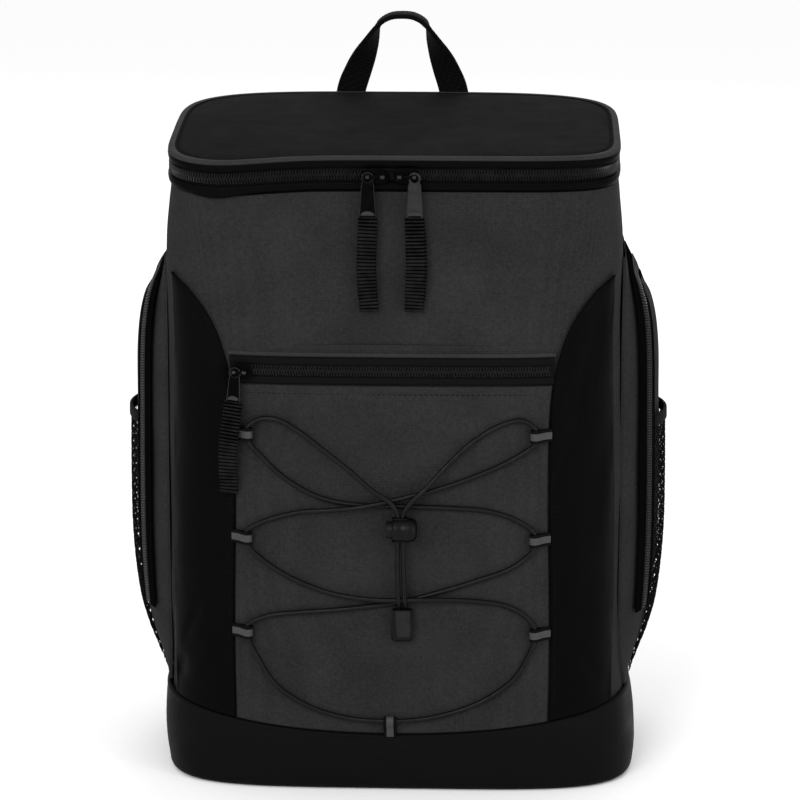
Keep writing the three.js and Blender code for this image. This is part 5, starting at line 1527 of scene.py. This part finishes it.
def make_handle():
    rows = [(-x, z, turn, wide) for x, z, turn, wide in HANDLE_ROWS]
    rows += [(x, z, turn, wide) for x, z, turn, wide in HANDLE_ROWS[-2::-1]]
    middle = LID_DEPTH + GAP + HANDLE_THICKNESS / 2
    line = smooth_line([Vector((x * HANDLE_HALF_SPAN, z, turn)) for x, z, turn, _ in rows], 8)
    wides = smooth_line([Vector((wide, 0.001 * i, 0)) for i, (_, _, _, wide) in enumerate(rows)], 8)
    places, outs = [], []
    for i, p in enumerate(line):
        a, b = line[max(0, i - 1)], line[min(len(line) - 1, i + 1)]
        along = Vector((b.x - a.x, b.y - a.y)).normalized()
        angle = clamp(p.z) * math.pi / 2
        places.append(Vector((p.x, middle, p.y)))
        outs.append(Vector((-along.y * math.sin(angle), math.cos(angle), along.x * math.sin(angle))))
    path = Path(places, outs)

    def profile(s):
        half = HANDLE_WIDTH * path.value(wides, s).x / 2
        thick = HANDLE_THICKNESS / 2 * (1 + 0.03 * math.cos(2 * math.pi * s / 2.4))
        seam = half - 2.6
        edge = [(half - 0.4, thick * 0.75), (half - 1.3, thick)]
        face = [(half, 0), *edge, (seam, thick * 0.86), (seam - 0.9, thick), (0, thick * 1.06)]
        face += [(-a, o) for a, o in face[-2::-1]]
        face += [(-a, -o) for a, o in edge]
        return face + [(0, -thick)] + [(a, -o) for a, o in edge[::-1]]

    parts = [path.sweep(profile, 300)]
    by = HANDLE_WIDTH * 0.84 / 2 - 2.6
    last = path.length - 4
    for across_by, foot in ((-by, -1.5), (-by, 1.5), (by, -1.5), (by, 1.5)):
        parts.append(stitches(path, 3.6, 2.6, 0.5, across_by, foot, start=4, end=last))
    shape = joined(*parts, looks=(0, 1, 1, 1, 1))
    new_object("handle_strap", shape, [HANDLE_WEBBING, THREAD], ["grab_handle"], sharp=80)


PAD_LOW = 80
PAD_HIGH = 388
PAD_HALF = 116
PAD_THICKNESS = 9


def pad_y(x, z, outer):
    up = (z - PAD_LOW) / (PAD_HIGH - PAD_LOW)
    full = (1 - abs(x / PAD_HALF) ** 6) * (1 - abs(2 * up - 1) ** 6)
    return back_y(x, z, SKIN_GAP + outer * PAD_THICKNESS * mix(0.35, 1, full))


def pad_channels(x, z):
    """Sewn channels of the back pad: one down its middle and two across, and a swell between them."""
    lines = [abs(x), abs(z - 190), abs(z - 290)]
    near = min(lines[0] / 1.4, lines[1], lines[2])
    return -3.2 * math.exp(-((near / 4.5) ** 2)) - 0.6 + ripple(x, 9, z, 40, 0.6, 2.2)


def make_back_pad():
    rows = []
    for up in shares(PAD_HIGH - PAD_LOW, 110):
        z = mix(PAD_LOW, PAD_HIGH, up)
        row = []
        for t in shares(2 * PAD_HALF, 80):
            x = mix(PAD_HALF, -PAD_HALF, t)
            near = min(2 * PAD_HALF * min(t, 1 - t), (PAD_HIGH - PAD_LOW) * min(up, 1 - up))
            out = pad_channels(x, z) * ease(near / 10) - roll(near, 1.4)
            row.append((x, pad_y(x, z, 1) + out, z))
        rows.append(row)
    made = new_object("pad_cloth", thick_sheet(rows, 1.6), FOAM_MESH, ["back_pad"])


# From the top down: share of the way down, spread, reach, width and thickness
STRAP_ROWS = [
    (0, 0.8, 0, 0.86, 0.8), (0.06, 0.84, 0.32, 0.92, 1), (0.18, 0.92, 0.66, 1, 1), (0.36, 1, 0.93, 1, 1),
    (0.55, 1.06, 1, 0.98, 1), (0.75, 1.1, 0.86, 0.9, 1), (0.92, 1.14, 0.56, 0.74, 0.9),
    (1, 1.16, 0.38, 0.6, 0.6),
]
# A strap's outline from its edge to its middle: shares of its half width and half thickness
STRAP_EDGE = [
    (1, 0), (0.985, 0.3), (0.95, 0.42), (0.9, 0.34), (0.86, 0.3), (0.8, 0.62), (0.66, 0.86), (0.5, 0.95),
    (0.33, 0.99), (0.16, 1), (0, 1),
]
STRAP_TOP = 364
STRAP_END = 150
STRAP_REACH = 46
STRAP_SPREAD = 62
STRAP_WIDTH = 62
STRAP_THICKNESS = 11
WEBBING_FOOT = (84, 94.6, 62)
BUCKLE = (34, 24, 4.4)
BUCKLE_DROP = 2.5
# The webbing's way through the buckle: share of the buckle's height, more down, and out
WEBBING_ROWS = [(0, -3, 0), (0, 3, 1.1), (0.3, 0, -1.54), (0.5, 0, 2.64), (0.74, 0, -1.32), (1, 3, 0)]


def strap_place(side, row):
    down, spread, reach = row[:3]
    inner = pad_y(0, STRAP_TOP, 1) + GAP + STRAP_ROWS[0][4] * STRAP_THICKNESS / 2
    z = mix(STRAP_TOP, STRAP_END, down)
    return Vector((side * STRAP_SPREAD * spread, inner + reach * STRAP_REACH, z))


def make_shoulder_strap(hand, side):
    places = smooth_line([strap_place(side, row) for row in STRAP_ROWS], 10)
    sizes = smooth_line([Vector((row[3], row[4], row[0])) for row in STRAP_ROWS], 10)
    outs = []
    for i, _ in enumerate(places):
        a, b = places[max(0, i - 1)], places[min(len(places) - 1, i + 1)]
        outs.append(Vector((0, -(b.z - a.z), b.y - a.y)).normalized() if i else Vector((0, 1, 0)))
    path = Path(places, outs)

    def profile(s):
        wide, thick, _ = path.value(sizes, s)
        half = STRAP_WIDTH * wide / 2
        tall = STRAP_THICKNESS * thick / 2 * mix(0.7, 1, ease(min(s, path.length - s) / 6))
        upper = [(share * half, rise * tall) for share, rise in STRAP_EDGE]
        upper += [(-a, o) for a, o in upper[-2:0:-1]]
        return upper + [(-a, -o) for a, o in upper]

    shape = path.sweep(profile, 150)
    n = len(profile(1))
    first = profile(path.length / 2)
    half = max(a for a, _ in first)
    bound = [1 if abs((first[j][0] + first[(j + 1) % n][0]) / 2) > half * 0.87 else 0 for j in range(n)]
    shape.looks = bound * 150 + [1, 1]
    name, node_name = f"strap_pad_{hand}", f"shoulder_strap_{hand}"
    made = new_object(name, shape, [FOAM_MESH, WEBBING], [node_name], sharp=60)


def make_strap_end(hand, side):
    start = strap_place(side, STRAP_ROWS[-1])
    foot = Vector((side * WEBBING_FOOT[0], *WEBBING_FOOT[1:]))
    along = (foot - start).normalized()
    across = (Vector((1, 0, 0)) + along * -along.x).normalized()
    out = across.cross(-along)
    wide, tall, thick = BUCKLE
    axes = Matrix((across, -along, out)).transposed().to_4x4()
    axes.translation = start + along * (BUCKLE_DROP + tall / 2)
    loops = [round_corners(box(wide / 2, -tall / 2, tall / 2), 4)]
    for level in (-tall * 0.22, tall * 0.22):
        loops.append(round_corners(box(13.3, level - 2.6, level + 2.6)[::-1], 1.2))
    shape = placed(plate(loops, -thick / 2, thick / 2, 0.8), axes)
    new_object(f"buckle_{hand}", shape, BLACK_PLASTIC, [f"strap_buckle_{hand}"], sharp=40)
    line = []
    for share, more, stand in WEBBING_ROWS:
        line.append(start + along * (BUCKLE_DROP + tall * share + more) + out * stand)
    line.append(foot)
    path = Path(smooth_line(line, 8), [out] * (8 * (len(line) - 1) + 1))
    tape = path.sweep(rounded(25, 1.6, -0.8, 0.5, 3), 120)
    new_object(f"webbing_{hand}", tape, WEBBING, [f"strap_webbing_{hand}"])


for loop_name in LOOPS:
    make_loop(loop_name)
make_lock()
make_end_cap()
make_zip_fittings()
make_handle()
make_back_pad()
for hand, side in (("left", -1), ("right", 1)):
    make_shoulder_strap(hand, side)
    make_strap_end(hand, side)


# Floor and light: name, place, aim, size and power
LIGHTS = [
    ("key", (-0.9, -2.3, 1.7), (0, 0, 0.25), (1.3, 1.3), 34),
    ("fill", (1.8, -1.5, 0.9), (0, 0, 0.25), (0.8, 1.6), 14),
    ("rim", (0.2, 2.2, 1.8), (0, 0, 0.3), (1.6, 0.8), 14),
]
FLOOR_REACH = 24


def make_stage():
    mesh = bpy.data.meshes.new("floor")
    corners = [(x, y, 0) for x, y in box(FLOOR_REACH, -FLOOR_REACH, FLOOR_REACH)]
    mesh.from_pydata(corners, [], [(0, 1, 2, 3)])
    mesh.materials.append(FLOOR)
    floor = bpy.data.objects.new("floor", mesh)
    bpy.context.scene.collection.objects.link(floor)
    world = bpy.data.worlds.new("studio")
    world.use_nodes = True
    background = world.node_tree.nodes["Background"]
    background.inputs["Color"].default_value = (1, 1, 1, 1)
    background.inputs["Strength"].default_value = 1.02
    bpy.context.scene.world = world
    for name, place, aim, size, power in LIGHTS:
        data = bpy.data.lights.new(name, "AREA")
        data.shape = "RECTANGLE"
        data.size, data.size_y = size
        data.energy = power
        lamp = bpy.data.objects.new(name, data)
        bpy.context.scene.collection.objects.link(lamp)
        lamp.location = place
        lamp.rotation_mode = "QUATERNION"
        lamp.rotation_quaternion = (Vector(aim) - Vector(place)).to_track_quat("-Z", "Y")


make_stage()

bpy.context.scene.view_settings.view_transform = "Standard"
